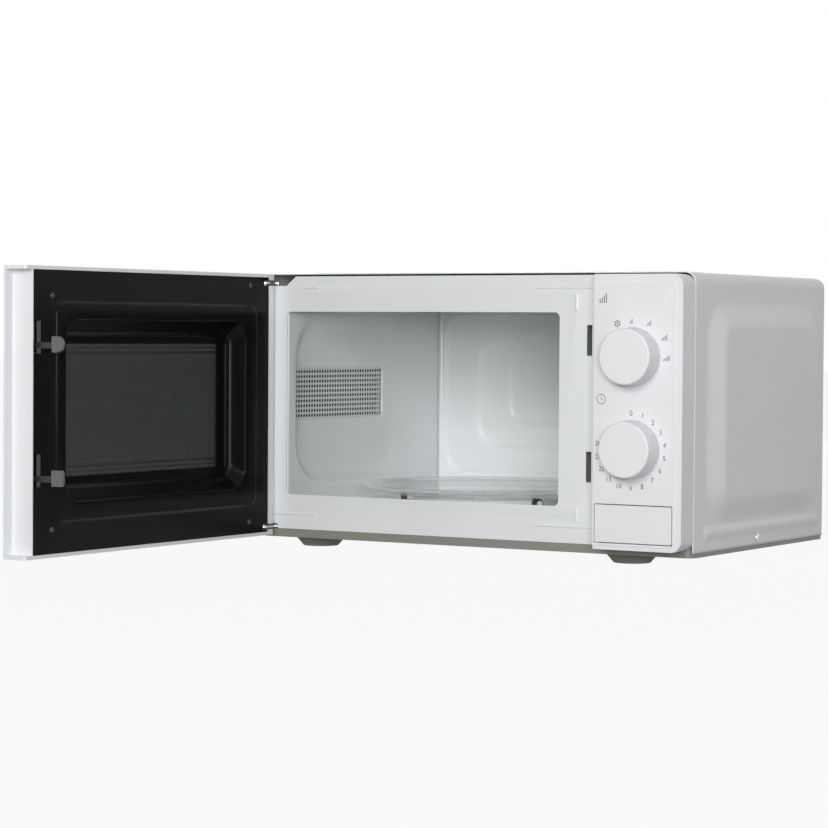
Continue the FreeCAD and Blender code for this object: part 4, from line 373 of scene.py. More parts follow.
def board(name):
    """Green circuit board with a pattern of tracks."""
    mat = new_material(name, (0.05, 0.20, 0.09), 0.4)
    tracks = texture(mat, "Brick", 90)
    tracks.inputs["Color1"].default_value = (0.04, 0.17, 0.08, 1)
    tracks.inputs["Color2"].default_value = (0.05, 0.20, 0.10, 1)
    tracks.inputs["Mortar"].default_value = (0.10, 0.30, 0.15, 1)
    mat.node_tree.links.new(tracks.outputs["Color"],
                            mat.node_tree.nodes["Principled BSDF"].inputs["Base Color"])
    return mat


# name and maker of each material, with its colour and roughness where the maker takes them
MATERIALS = (
    ("case_enamel", enamel, (0.76, 0.765, 0.775), 0.34),
    ("plate_enamel", enamel, (0.76, 0.775, 0.785), 0.30),
    ("cavity_enamel", enamel, (0.77, 0.80, 0.805), 0.20),
    ("grey_enamel", enamel, (0.62, 0.63, 0.64), 0.38),
    # dark base plate: its colour is darkened to paint the shade under the case's edges
    ("base_steel", enamel, (0.23, 0.226, 0.2), 0.42),
    ("white_plastic", moulded, (0.765, 0.775, 0.79), 0.34),
    ("door_plastic", moulded, (0.75, 0.76, 0.775), 0.30),
    ("knob_plastic", speckled, (0.80, 0.805, 0.82)),
    ("white_nylon", moulded, (0.70, 0.69, 0.65), 0.45),
    # grey interlock bracket: darkened to paint the shade seen inside the latch slots
    ("grey_plastic", moulded, (0.36, 0.37, 0.38), 0.42),
    ("hook_plastic", moulded, (0.11, 0.11, 0.11), 0.40),
    ("black_plastic", moulded, (0.016, 0.016, 0.018), 0.42),
    ("fan_plastic", moulded, (0.03, 0.03, 0.034), 0.45),
    ("black_enamel", enamel, (0.0045, 0.005, 0.006), 0.20),
    ("screen_enamel", enamel, (0.010, 0.011, 0.012), 0.34),
    ("smoked_glass", glass, (0.075, 0.078, 0.08), 0.04),
    ("tray_glass", glass, (0.86, 0.95, 0.92), 0.015),
    ("lamp_glass", glass, (0.97, 0.97, 0.94), 0.02),
    ("foot_rubber", rubber, (0.29, 0.285, 0.245)),
    ("steel", brushed, (0.62, 0.63, 0.64)),
    ("zinc", zinc, (0.56, 0.56, 0.55)),
    ("black_screw", enamel, (0.02, 0.02, 0.022), 0.3),
    ("spring_steel", brushed, (0.50, 0.50, 0.51), 0.28),
    ("aluminium", brushed, (0.72, 0.73, 0.74), 0.3),
    ("copper", wound_wire, (0.55, 0.22, 0.10)),
    ("lamination", laminated, (0.16, 0.16, 0.17)),
    ("mica", mica_sheet),
    ("board", board),
    ("yellow", moulded, (0.62, 0.42, 0.08), 0.35),
    ("ink", moulded, (0.06, 0.06, 0.065), 0.5),
    ("pale_ink", moulded, (0.34, 0.35, 0.36), 0.5),
)
SOCKETS = {"black_enamel": {"Specular_IOR_Level": 0.07}, "tray_glass": {"Alpha": 0.45}}


def make_materials():
    """Every material of the scene by its name."""
    return {name: maker(name, *look, **SOCKETS.get(name, {})) for name, maker, *look in MATERIALS}


# CAD nodes by the material each one is given
PAINT = {
    "case_enamel": ("outer_case",),
    "plate_enamel": ("front_plate",),
    "cavity_enamel": ("cavity_shell", "vent_grille"),
    "grey_enamel": ("back_panel",),
    "base_steel": ("base_plate",),
    "white_plastic": ("control_panel", "door_button", "fan_shroud"),
    "door_plastic": ("door_frame",),
    "knob_plastic": ("power_knob", "timer_knob"),
    "grey_plastic": ("interlock_bracket",),
    "white_nylon": ("release_lever", "roller_wheel_1", "roller_wheel_2",
                    "roller_wheel_3", "turntable_coupler", "drive_shaft", "power_shaft",
                    "timer_shaft"),
    "hook_plastic": ("door_latch",),
    "black_plastic": ("cord_gland", "interlock_switches", "timer_unit", "power_selector",
                      "thermal_cutouts", "high_voltage_diode", "roller_ring"),
    "fan_plastic": ("fan_blade",),
    "black_enamel": ("door_inner_panel",),
    "screen_enamel": ("door_screen",),
    "smoked_glass": ("door_window",),
    "tray_glass": ("glass_turntable",),
    "lamp_glass": ("cavity_lamp",),
    "foot_rubber": ("foot_front_left", "foot_front_right", "foot_rear_left", "foot_rear_right"),
    "steel": ("upper_hinge", "lower_hinge", "waveguide", "bell", "door_choke",
              "capacitor_clamp", "lamp_holder", "magnetron_yoke"),
    "zinc": ("case_screws", "door_screws"),
    "spring_steel": ("latch_spring", "button_spring"),
    "aluminium": ("capacitor",),
    "copper": ("transformer_windings", "magnetron_core"),
    "lamination": ("transformer_core", "fan_motor", "turntable_motor"),
    "mica": ("waveguide_cover",),
    "board": ("filter_board",),
    "yellow": ("filter_components",),
}


def paint_nodes(mats):
    """Gives each CAD node its material; the twins cover most of them."""
    for material, names in PAINT.items():
        for name in names:
            slots = NODES[name].data.materials
            slots.clear()
            slots.append(mats[material])


# ---- mesh helpers -------------------------------------------------------------------
WELD = 2e-6
FLAT_ANGLE = 1.5


def add_piece(name, points, faces, material, body, smooth=True):
    """New piece from points in metres, riding on a body."""
    mesh = bpy.data.meshes.new(name)
    mesh.from_pydata([tuple(p) for p in points], [], faces)
    mesh.validate()
    for face in mesh.polygons:
        face.use_smooth = smooth
    mesh.materials.append(material)
    piece = new_object(name, mesh)
    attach(piece, body)
    return piece


def grid_faces(rows, columns, wrap=False, keep=None, base=0):
    """Quads of a grid of rows by columns points, numbered row by row from base."""
    faces = []
    last = columns if wrap else columns - 1
    for i in range(rows - 1):
        for j in range(last):
            if keep and not keep(i, j):
                continue
            k = (j + 1) % columns
            a, b = base + i * columns + j, base + i * columns + k
            faces.append((a, b, b + columns, a + columns))
    return faces


def thicken(piece, mm, offset=-1.0):
    """Gives a sheet its thickness, below its face, or above it with an offset of 1."""
    mod = piece.modifiers.new("thickness", "SOLIDIFY")
    mod.thickness = mm * MM
    mod.offset = offset
    mod.use_even_offset = True


def soften(piece, mm, angle, segments):
    """Rounds the edges sharper than an angle in degrees."""
    mod = piece.modifiers.new("edges", "BEVEL")
    mod.width = mm * MM
    mod.segments = segments
    mod.limit_method = "ANGLE"
    mod.angle_limit = math.radians(angle)
    return mod


def steps(a, b, size):
    """Even steps from a to b, both included, of about one size."""
    n = max(1, round(abs(b - a) / size))
    return [a + (b - a) * i / n for i in range(n + 1)]


def ramp(x, softness):
    """0 below 0, 1 above 1, straight between, with rounded ends."""
    def bend(t):
        """0 below 0 and t above it, with a rounded corner."""
        t = t / softness
        return softness * (t if t > 30 else math.log1p(math.exp(t)))
    return bend(x) - bend(x - 1)


def pad_height(u, v, box, radius, slope_u, slope_v, softness):
    """Share of full height at (u, v) of a pressed pad with sloping sides."""
    u0, u1, v0, v1 = box
    du = max(abs(u - (u0 + u1) / 2) - ((u1 - u0) / 2 - slope_u - radius), 0.0)
    dv = max(abs(v - (v0 + v1) / 2) - ((v1 - v0) / 2 - slope_v - radius), 0.0)
    far = math.hypot(du, dv)
    if far < 1e-6:
        return 1.0
    slope = math.hypot(slope_u * du / far, slope_v * dv / far)
    return ramp(1 - (far - radius) / slope, softness)


def outline(u0, u1, v0, v1, r, arc):
    """Rounded rectangle as a closed list of (u, v), each corner in arc parts."""
    r = max(0.01, min(r, (u1 - u0) / 2, (v1 - v0) / 2))
    points = []
    corners = ((u1 - r, v0 + r, -90), (u1 - r, v1 - r, 0), (u0 + r, v1 - r, 90),
               (u0 + r, v0 + r, 180))
    for cu, cv, start in corners:
        for k in range(arc + 1):
            a = math.radians(start + 90 * k / arc)
            points.append((cu + r * math.cos(a), cv + r * math.sin(a)))
    return points


def circle(radius, count, shift=0.0):
    """Points (u, v) round a circle, the first one shifted by a share of a step."""
    angles = [2 * math.pi * (k + shift) / count for k in range(count)]
    return [(radius * math.cos(a), radius * math.sin(a)) for a in angles]


def quarter_turn(start, parts):
    """(cos, sin) at the steps inside a quarter turn, clockwise from start in degrees."""
    angles = [math.radians(start - 90 * k / parts) for k in range(1, parts)]
    return [(math.cos(a), math.sin(a)) for a in angles]


def widest(a, b):
    """Largest difference between two rows of numbers."""
    return max(abs(p - q) for p, q in zip(a, b))


def rounded_chain(corners, distance, most, count=5):
    """Chain of rows whose last number is a rounding, with the corners rounded; each
    rounding takes at most a share of the distance to the next corner."""
    chain = [corners[0][:-1]]
    for before, here, after in zip(corners, corners[1:], corners[2:]):
        rounding, here = here[-1], here[:-1]
        if rounding == 0:
            chain.append(here)
            continue
        ends = []
        for other in (before[:-1], after[:-1]):
            gap = distance(other, here)
            t = min(most, rounding / gap) if gap else 0.0
            ends.append([h + (o - h) * t for o, h in zip(other, here)])
        for k in range(count + 1):
            t = k / count
            chain.append(tuple((1 - t) ** 2 * a + 2 * t * (1 - t) * h + t * t * b
                               for a, h, b in zip(ends[0], here, ends[1])))
    chain.append(corners[-1][:-1])
    return chain


def lathe_points(profile, centre, axis, segments):
    """Points of a profile of (radius, along) turned about an axis through centre."""
    axis = Vector(axis).normalized()
    side = axis.orthogonal().normalized()
    other = axis.cross(side)
    points = []
    for r, h in profile:
        for k in range(segments):
            a = 2 * math.pi * k / segments
            points.append(Vector(centre) + axis * h * MM
                          + (side * math.cos(a) + other * math.sin(a)) * r * MM)
    return points


def outward(mesh, weld=0.0):
    """Turns a closed mesh's faces outward, after welding points closer than weld."""
    work = bmesh.new()
    work.from_mesh(mesh)
    if weld:
        bmesh.ops.remove_doubles(work, verts=work.verts, dist=weld)
    bmesh.ops.recalc_face_normals(work, faces=work.faces)
    work.to_mesh(mesh)
    work.free()


def carve(piece, cutters):
    """Cuts some boxes or rods, given as (points, faces), out of a closed piece."""
    outward(piece.data)
    for points, faces in cutters:
        mesh = bpy.data.meshes.new("cutter")
        mesh.from_pydata([tuple(p) for p in points], [], faces)
        outward(mesh)
        cutter = new_object("cutter", mesh)
        mod = piece.modifiers.new("cut", "BOOLEAN")
        mod.operation = "DIFFERENCE"
        mod.solver = "EXACT"
        mod.object = cutter
        bake(piece)
        bpy.data.objects.remove(cutter)
        bpy.data.meshes.remove(mesh)


def bake(piece):
    """Replaces a piece's mesh with what its modifiers make of it."""
    bpy.context.view_layer.update()
    graph = bpy.context.evaluated_depsgraph_get()
    mesh = bpy.data.meshes.new_from_object(piece.evaluated_get(graph))
    old = piece.data
    piece.modifiers.clear()
    piece.data = mesh
    bpy.data.meshes.remove(old)
    mesh.name = piece.name


def block(place, x0, x1, y0, y1, z0, z1):
    """Corner points, in metres, and faces of a box whose corners pass through place."""
    corners = [place(x, y, z) for x in (x0, x1) for y in (y0, y1) for z in (z0, z1)]
    return corners, [(0, 1, 3, 2), (4, 6, 7, 5), (0, 4, 5, 1), (2, 3, 7, 6), (0, 2, 6, 4),
                     (1, 5, 7, 3)]


def post(place, x, y, z0, z1, radius, count=40):
    """Points and faces of an upright rod whose points pass through place."""
    points = [place(x + u, y + v, z) for z in (z0, z1) for u, v in circle(radius, count)]
    faces = [tuple(range(count)), tuple(range(count, 2 * count))]
    return points, faces + grid_faces(2, count, True)


def shade(mesh, angle):
    """Smooth shading, with the edges sharper than an angle in degrees kept crisp."""
    for face in mesh.polygons:
        face.use_smooth = True
    mesh.set_sharp_from_angle(angle=math.radians(angle))


def twin(name, node, material, body, mm, angle=35, segments=2):
    """Copy of a CAD piece, its facets welded into faces and its edges softened."""
    mesh = NODES[node].data.copy()
    mesh.name = name
    work = bmesh.new()
    work.from_mesh(mesh)
    bmesh.ops.remove_doubles(work, verts=work.verts, dist=WELD)
    bmesh.ops.dissolve_limit(work, angle_limit=math.radians(FLAT_ANGLE), verts=work.verts,
                             edges=work.edges)
    work.to_mesh(mesh)
    work.free()
    mesh.materials.clear()
    mesh.materials.append(material)
    shade(mesh, angle)
    piece = new_object(name, mesh)
    if mm:
        mod = soften(piece, mm, angle, segments)
        mod.harden_normals = True
    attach(piece, body)
    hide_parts(node)
    return piece


def turned(name, corners, centre, axis, material, body, segments=128, count=5):
    """Profile of (radius, along, rounding) corners, in mm, turned about an axis."""
    profile = rounded_chain(corners, math.dist, 0.49, count)
    points = lathe_points(profile, vec(*centre), axis, segments)
    faces = grid_faces(len(profile), segments, True)
    piece = add_piece(name, points, faces, material, body)
    outward(piece.data, 1e-6)
    shade(piece.data, 40)
    return piece


# ---- case ---------------------------------------------------------------------------
SIDE_PAD = (FRONT + 25.0, FRONT + 267.0, 40.0, 229.0)
SIDE_RIB = (FRONT + 22.0, FRONT + 268.0, 25.0, 35.0)
TOP_PAD = (-202.0, 202.0, FRONT + 24.0, REAR - 24.0)
PAD_HEIGHT, RIB_HEIGHT, TOP_HEIGHT = 6.0, 1.6, 1.2
FINE_STEP, TOP_STEP = 2.6, 4.0


def side_press(y, z):
    """How far a side stands out: its pressed pad and the rib under it."""
    return (PAD_HEIGHT * pad_height(y, z, SIDE_PAD, 14.0, 27.0, 18.0, 0.05)
            + RIB_HEIGHT * pad_height(y, z, SIDE_RIB, 1.0, 2.5, 2.5, 0.15))


def case_section():
    """Stations up the left side, over the top and down the right, as a list of
    (kind, position along, outward x, outward z)."""
    bend_x, bend_z = HALF_WIDTH - CASE_CORNER, CASE_TOP - CASE_CORNER
    section = [("side", -HALF_WIDTH, z, -1.0, 0.0) for z in steps(CASE_BOTTOM, bend_z, FINE_STEP)]
    section += [("arc", -bend_x, bend_z, c, s) for c, s in quarter_turn(180, 8)]
    section += [("top", x, CASE_TOP, 0.0, 1.0) for x in steps(-bend_x, bend_x, TOP_STEP)]
    section += [("arc", bend_x, bend_z, c, s) for c, s in quarter_turn(90, 8)]
    section += [("side", HALF_WIDTH, z, 1.0, 0.0) for z in steps(bend_z, CASE_BOTTOM, FINE_STEP)]
    return section


def case_point(station, y, inset):
    """Point of the case's wrap; an inset draws it in where the rear edge turns over."""
    kind, x, z, nx, nz = station
    if kind == "arc":
        r = max(CASE_CORNER, inset)
        px, pz = x + nx * r, z + nz * r
    else:
        px, pz = x, z
    press = 0.0
    if inset == 0.0:
        if kind == "side":
            press = side_press(y, z)
        elif kind == "top":
            press = TOP_HEIGHT * pad_height(x, y, TOP_PAD, 16.0, 8.0, 8.0, 0.12)
    push = press - inset
    px, pz = px + nx * push, pz + nz * push
    if inset > 0.0:
        px = math.copysign(min(abs(px), HALF_WIDTH - inset), px)
        pz = min(pz, CASE_TOP - inset)
    return vec(px, y, pz)


def make_case(mats):
    """Wrap of the case: one sheet over both sides and the top, with the rear lip."""
    section = case_section()
    rows = [(y, 0.0) for y in steps(FRONT, REAR - CASE_CORNER, FINE_STEP)]
    for k in range(1, 7):
        a = math.radians(90 * k / 6)
        rows.append((REAR - CASE_CORNER + CASE_CORNER * math.sin(a),
                     CASE_CORNER * (1 - math.cos(a)) + 1e-6))
    rows.append((REAR, REAR_LIP))
    points = [case_point(s, y, inset) for y, inset in rows for s in section]
    faces = grid_faces(len(rows), len(section))
    case = add_piece("case_wrap", points, faces, mats["case_enamel"], "oven")
    thicken(case, CASE_SHEET)
    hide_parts("outer_case")


# ---- cavity -------------------------------------------------------------------------
DISH = (FRONT + 15.5, FRONT + 263.0, 57.5, 223.0, 46.0)         # at the wall
DISH_FLOOR = (FRONT + 24.5, FRONT + 198.0, 66.0, 204.5, 34.0)   # where it is deepest
DISH_DEPTH = 8.0
# half width, bottom, top and corner radius of each pressing, from the largest inward
PRESSINGS = ((148.5, 60.0, 220.0, 19.0), (111.0, 86.0, 199.0, 21.0), (76.0, 110.0, 190.0, 19.0))
PRESSING_DEPTH, PRESSING_SLOPE = 2.2, 4.0


def back_press(x, z):
    """Depth of the three nested pressings in the rear wall."""
    middle = (CAVITY[0] + CAVITY[1]) / 2
    return sum(PRESSING_DEPTH * pad_height(x, z, (middle - half, middle + half, low, high),
                                           radius, PRESSING_SLOPE, PRESSING_SLOPE, 0.10)
               for half, low, high, radius in PRESSINGS)


def beyond(u, v, box):
    """Distance of (u, v) outside a rounded rectangle, negative inside it."""
    u0, u1, v0, v1, r = box
    du = abs(u - (u0 + u1) / 2) - ((u1 - u0) / 2 - r)
    dv = abs(v - (v0 + v1) / 2) - ((v1 - v0) / 2 - r)
    return min(max(du, dv), 0.0) + math.hypot(max(du, 0.0), max(dv, 0.0)) - r


def dish_press(y, z):
    """Depth of the dish in the left wall: steep in front, long and shallow at its rear."""
    rim, low = -beyond(y, z, DISH), beyond(y, z, DISH_FLOOR)
    return DISH_DEPTH * ramp(rim / (rim + low), 0.09)


def aligned(a, b, size, marks):
    """Steps from a to b that land on every mark between them."""
    stops = [a] + [m for m in marks if a < m < b] + [b]
    out = [a]
    for s, e in zip(stops, stops[1:]):
        out += steps(s, e, size)[1:]
    return out


def cavity_ring():
    """(x, z) round the cavity from the foot of its left wall; the first points are that
    wall's, and their number comes second."""
    x0, x1, z0, z1 = CAVITY
    left, right = x0 + CAVITY_CORNER, x1 - CAVITY_CORNER
    low, high = z0 + CAVITY_CORNER, z1 - CAVITY_CORNER

    def corner(x, z, start):
        """Points inside one rounded corner."""
        return [(x + CAVITY_CORNER * c, z + CAVITY_CORNER * s) for c, s in quarter_turn(start, 5)]

    ring = [(x0, z) for z in aligned(low, high, 3.0, VENT[2:])]
    wall = len(ring)
    ring += corner(left, high, 180) + [(x, z1) for x in steps(left, right, 6.0)]
    ring += corner(right, high, 90) + [(x1, z) for z in steps(high, low, 6.0)]
    ring += corner(right, low, 0) + [(x, z0) for x in steps(right, left, 6.0)]
    return ring + corner(left, low, -90), wall


def make_cavity(mats):
    """Enamelled liner: dished left wall, plain right wall, and a pressed rear wall."""
    ring, n_left = cavity_ring()
    ys = aligned(FRONT + 0.9, CAVITY_BACK - CAVITY_CORNER, 3.0, VENT[:2])
    points = []
    for y in ys:
        for i, (x, z) in enumerate(ring):
            push = dish_press(y, z) if i < n_left else 0.0
            points.append(vec(x - push, y, z))

    def keep(i, j):
        """All faces but those of the left wall where the vent is."""
        if j >= n_left - 1:
            return True
        y = (ys[i] + ys[i + 1]) / 2
        z = (ring[j][1] + ring[j + 1][1]) / 2
        return not (VENT[0] < y < VENT[1] and VENT[2] < z < VENT[3])

    faces = grid_faces(len(ys), len(ring), True, keep)
    walls = add_piece("cavity_walls", points, faces, mats["cavity_enamel"], "oven")
    thicken(walls, CAVITY_SHEET)
    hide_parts("cavity_shell")
    make_cavity_back(mats, ring)
    make_vent(mats)


def make_vent(mats):
    """Thin perforated panel in the left wall, with a black sheet behind it that paints the shade
    seen through its holes.
    """
    y0, y1, z0, z1 = VENT
    du, dv = (y1 - y0) / VENT_COLUMNS, (z1 - z0) / VENT_ROWS
    points, faces = [], []
    for i in range(VENT_ROWS):
        for j in range(VENT_COLUMNS):
            a, b = y0 + j * du, z0 + i * dv
            flat_cell(points, faces, a, a + du, b, b + dv, a + du / 2, b + dv / 2, VENT_HOLE)
    x = CAVITY[0] - DISH_DEPTH
    vent = add_piece("vent_panel", [vec(x, y, z) for y, z in points], faces,
                     mats["cavity_enamel"], "oven", smooth=False)
    thicken(vent, THIN_SHEET)
    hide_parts("vent_grille")
    # black sheet behind the holes: painted shade, standing in for the dark inside of the wall
    spots, sides = block(vec, x - 7.0, x - 6.4, y0 - 3.0, y1 + 3.0, z0 - 3.0, z1 + 3.0)
    shade_sheet = add_piece("vent_shade_sheet", spots, sides, mats["black_plastic"], "oven")
    soften(shade_sheet, 0.2, 40, 2)


def make_cavity_back(mats, ring):
    """Rear wall with three nested pressings and a rounded border into the side walls."""
    x0, x1, z0, z1 = CAVITY
    r = CAVITY_CORNER
    xs = steps(x0 + r, x1 - r, 2.5)
    zs = steps(z0 + r, z1 - r, 2.5)
    points = [vec(x, CAVITY_BACK + back_press(x, z), z) for z in zs for x in xs]
    faces = grid_faces(len(zs), len(xs))
    base = len(points)
    border = []
    for k in range(5):
        a = math.radians(90 * k / 4)
        y = CAVITY_BACK - r + r * math.sin(a)
        inset = r - r * math.cos(a)
        border.append((y, inset))
    for y, inset in border:
        for x, z in ring:
            cx = min(max(x, x0 + inset), x1 - inset)
            cz = min(max(z, z0 + inset), z1 - inset)
            points.append(vec(cx, y, cz))
    faces += grid_faces(len(border), len(ring), True, base=base)
    add_piece("cavity_rear_wall", points, faces, mats["cavity_enamel"], "oven")


# ---- door ---------------------------------------------------------------------------
# outline, corner radius, depth and rounding of each station from the border to the screen
LINER = (
    (-212.3, 130.0, 15.0, 253.0, 1.5, DOOR_INNER, 0.0),
    (-192.0, 102.0, 40.5, 227.0, 10.0, DOOR_INNER, 1.2),
    (-190.4, 100.4, 42.1, 225.4, 9.0, DOOR_INNER + 2.0, 1.4),
    (-173.0, 89.0, 57.0, 212.0, 18.0, DOOR_INNER + 2.0, 1.8),
    (-170.5, 86.6, 67.5, 201.5, 14.0, RECESS_FLOOR + 2.5, 2.2),
    (-167.0, 83.5, 71.5, 197.5, 11.0, RECESS_FLOOR, 1.6),
    (-150.0, 73.0, 78.0, 191.0, 2.0, RECESS_FLOOR, 0.0),
)
LINER_SHEET = 0.8
LATCH_SLOTS = ((71.9, 99.1), (183.0, 210.2))
TONGUES = (247.0, 18.5)
TONGUE_ROOM = 12.6


def make_liner(mats):
    """Black pressing inside the door: border, raised ring and the dish round the screen."""
    arc = 12
    points, rings = [], rounded_chain(LINER, widest, 0.48)
    for u0, u1, v0, v1, r, y in rings:
        points += [opened(u, y, v) for u, v in outline(u0, u1, v0, v1, r, arc)]
    faces = grid_faces(len(rings), 4 * (arc + 1), True)
    liner = add_piece("door_liner", points, faces, mats["black_enamel"], "door")
    thicken(liner, LINER_SHEET, 1.0)
    bake(liner)
    cutters = [block(opened, 119.7, 135.0, DOOR_INNER - 4, DOOR_INNER + 4, z0, z1)
               for z0, z1 in LATCH_SLOTS]
    cutters += [post(opened, PIVOT[0], PIVOT[1], z - 1.5, z + 3.5, TONGUE_ROOM)
                for z in TONGUES]
    carve(liner, cutters)
    shade(liner.data, 32)
    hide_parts("door_inner_panel")


CELL_SIDES = 12
SCREEN_PITCH, SCREEN_HOLE = 2.56, 0.85
SCREEN_COLUMNS, SCREEN_ROWS = 99, 37
EDGE_HOLE, EDGE_HOLES = 1.05, 50
# near and far side of each row of larger holes, and its shift as a share of a hole's room
EDGE_ROWS = ((0.3, 2.9, 0.0), (4.1, 6.7, 0.5))
# near and far side of the strips beside those rows; the last strip ends at the fine field
EDGE_STRIPS = ((0.0, 0.3), (2.9, 4.1), (6.7, None))


def hex_cell(points, faces, u, v, pitch, hole):
    """Adds one hexagon, flat above and below, with a round hole to the lists."""
    base = len(points)
    reach = pitch / math.sqrt(3)
    turns = [math.pi * (k + 3) / 6 for k in range(CELL_SIDES)]
    for k, a in enumerate(turns):
        edge = reach * (1.0 if k % 2 else math.sqrt(3) / 2)
        points.append((u + edge * math.cos(a), v + edge * math.sin(a)))
    points.extend((u + hole * math.cos(a), v + hole * math.sin(a)) for a in turns)
    faces.extend(grid_faces(2, CELL_SIDES, True, base=base))


def flat_cell(points, faces, u0, u1, v0, v1, u, v, hole):
    """Adds one rectangle with a round hole to the lists."""
    base = len(points)
    for du, dv in circle(1.0, CELL_SIDES, 0.5):
        t = min((u1 - u if du > 0 else u - u0) / max(abs(du), 1e-6),
                (v1 - v if dv > 0 else v - v0) / max(abs(dv), 1e-6))
        points.append((u + du * t, v + dv * t))
    points.extend((u + du, v + dv) for du, dv in circle(hole, CELL_SIDES, 0.5))
    faces.extend(grid_faces(2, CELL_SIDES, True, base=base))


def make_screen(mats):
    """Perforated screen: a fine field between two rows of larger holes above and below."""
    u0, u1, v0, v1 = SCREEN
    points, faces = [], []

    def plain(*corners):
        """Adds a flat piece without a hole."""
        faces.append(tuple(range(len(points), len(points) + len(corners))))
        points.extend(corners)

    pitch, columns, rows = SCREEN_PITCH, SCREEN_COLUMNS, SCREEN_ROWS
    step, reach = pitch * math.sqrt(3) / 2, pitch / math.sqrt(3)
    first = (u0 + u1) / 2 - (columns - 1) * step / 2
    last = first + (columns - 1) * step
    low = (v0 + v1) / 2 - (rows + 0.5) * pitch / 2
    high = low + (rows + 0.5) * pitch
    for j in range(columns):
        u = first + j * step
        for i in range(rows):
            hex_cell(points, faces, u, low + pitch * (i + (1.0 if j % 2 else 0.5)), pitch,
                     SCREEN_HOLE)
        if j % 2:
            plain((u - reach, low), (u + reach, low), (u + reach / 2, low + pitch / 2),
                  (u - reach / 2, low + pitch / 2))
        else:
            plain((u - reach / 2, high - pitch / 2), (u + reach / 2, high - pitch / 2),
                  (u + reach, high), (u - reach, high))
    for i in range(rows + 1):
        c = low + i * pitch
        b, t = max(c - pitch / 2, low), c + pitch / 2
        plain((first - reach, b), (first - reach / 2, c), (first - reach, t))
        plain((last + reach, b), (last + reach, t), (last + reach / 2, c))
    plain((u0, low), (first - reach, low), (first - reach, high), (u0, high))
    plain((last + reach, low), (u1, low), (u1, high), (last + reach, high))

    size = (u1 - u0) / EDGE_HOLES
    for edge, sign in ((v0, 1), (v1, -1)):
        def band(near, far):
            """Lower and upper side of a row that lies near to far from the edge."""
            return sorted((edge + sign * near, edge + sign * far))

        for near, far, shift in EDGE_ROWS:
            a, b = band(near, far)
            for j in range(EDGE_HOLES - (1 if shift else 0)):
                u = u0 + (j + shift) * size
                flat_cell(points, faces, u, u + size, a, b, u + size / 2, (a + b) / 2, EDGE_HOLE)
            if shift:
                plain((u0, a), (u0 + size / 2, a), (u0 + size / 2, b), (u0, b))
                plain((u1 - size / 2, a), (u1, a), (u1, b), (u1 - size / 2, b))
        for near, far in EDGE_STRIPS:
            a, b = band(near, far or low - v0)
            plain((u0, a), (u1, a), (u1, b), (u0, b))
    spots = [opened(u, RECESS_FLOOR - 0.02, v) for u, v in points]
    screen = add_piece("door_mesh", spots, faces, mats["screen_enamel"], "door",
                       smooth=False)
    thicken(screen, THIN_SHEET, 1.0)
    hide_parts("door_screen")


def make_door(mats):
    """Frame, pane, black pressing, screen, screws and hooks."""
    twin("door_surround", "door_frame", mats["door_plastic"], "door", 0.5)
    twin("door_pane", "door_window", mats["smoked_glass"], "door", 0.25)
    make_liner(mats)
    make_screen(mats)
    twin("liner_screws", "door_screws", mats["black_screw"], "door", 0.15)
    make_hooks(mats)


HOOK_X = 124.2 - 0.45
HOOK_TIP = DOOR_INNER + 27.0
HOOK_HEAD = HOOK_TIP - 11.5
HOOKS = (72.9, 184.0)
NOSE = 6.8
CHAMFER = 1.5


def make_hooks(mats):
    """Latch hooks: thin black arms, each with a grey head; the upper head has a round nose."""
    twin("latch_bar", "door_latch", mats["black_plastic"], "latch", 0.3)
    for name, bottom in zip(("lower", "upper"), HOOKS):
        z0, z1 = bottom - 0.05, bottom + 13.55
        y0, y1 = HOOK_HEAD - 0.3, HOOK_TIP + 0.05
        if name == "upper":
            turns = [math.radians(-90 + 180 * k / 12) for k in range(13)]
            nose = [(y1 - NOSE + NOSE * math.cos(a), (z0 + z1) / 2 + NOSE * math.sin(a))
                    for a in turns]
        else:
            nose = [(y1 - CHAMFER, z0), (y1, z0 + CHAMFER), (y1, z1 - CHAMFER), (y1 - CHAMFER, z1)]
        shape = [(y0, z0), *nose, (y0, z1)]
        points = []
        for x in (HOOK_X - 1.75, HOOK_X + 1.75):
            points += [opened(x, y, z) for y, z in shape]
        n = len(shape)
        faces = [tuple(range(n)), tuple(range(2 * n - 1, n - 1, -1))]
        faces += grid_faces(2, n, True)
        head = add_piece("latch_head_" + name, points, faces, mats["hook_plastic"], "latch")
        outward(head.data)
        shade(head.data, 40)
        soften(head, 0.5, 40, 3).harden_normals = True


# ---- control panel ------------------------------------------------------------------
PRINT_SHEET = 0.03
FIGURES = ("0", "1", "2", "3", "4", "5", "6", "7", "8", "9", "10", "15", "20", "25", "30")
FIGURE_HEIGHT, FIGURE_RING, FIGURE_STEP = 4.4, 32.4, 20
FIGURE_CENTRE = (KNOB_X - 2.2, TIMER_Z - 1.4)
FLAKE = (163.9, 211.5)
FULL_BARS = (150.1, 229.2)
CLOCK = (148.9, 146.2)
# place and heights of each group of pale bars round the power dial
LEVELS = ((177.3, 211.4, (2.6, 4.4)), (194.5, 209.8, (2.0, 3.2, 4.4)),
          (208.9, 197.2, (1.8, 2.9, 4.0, 5.2)), (210.9, 179.8, (1.4, 2.3, 3.2, 4.1, 5.0)))


def make_knob(mats, name, z, node, body):
    """Dial: plain face with a round rim, slightly tapered side, hollow behind."""
    back, face = PANEL_FRONT - 0.8, PANEL_FRONT - 19.5
    span = back - face
    corners = [(0.0, span, 0), (18.0, span, 4.0), (24.15, span - 0.1, 1.5), (25.3, 1.8, 0.4),
               (24.4, 0.0, 0.3), (23.3, 0.0, 0.3), (22.1, span - 2.2, 0.6), (6.5, span - 2.2, 0.6),
               (6.5, 0.2, 0.3), (3.0, 0.2, 0.0), (3.0, 12.0, 0.0), (0.0, 12.0, 0)]
    knob = turned(name, corners, (KNOB_X, back, z), (0, -1, 0), mats["knob_plastic"], body)
    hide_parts(node)


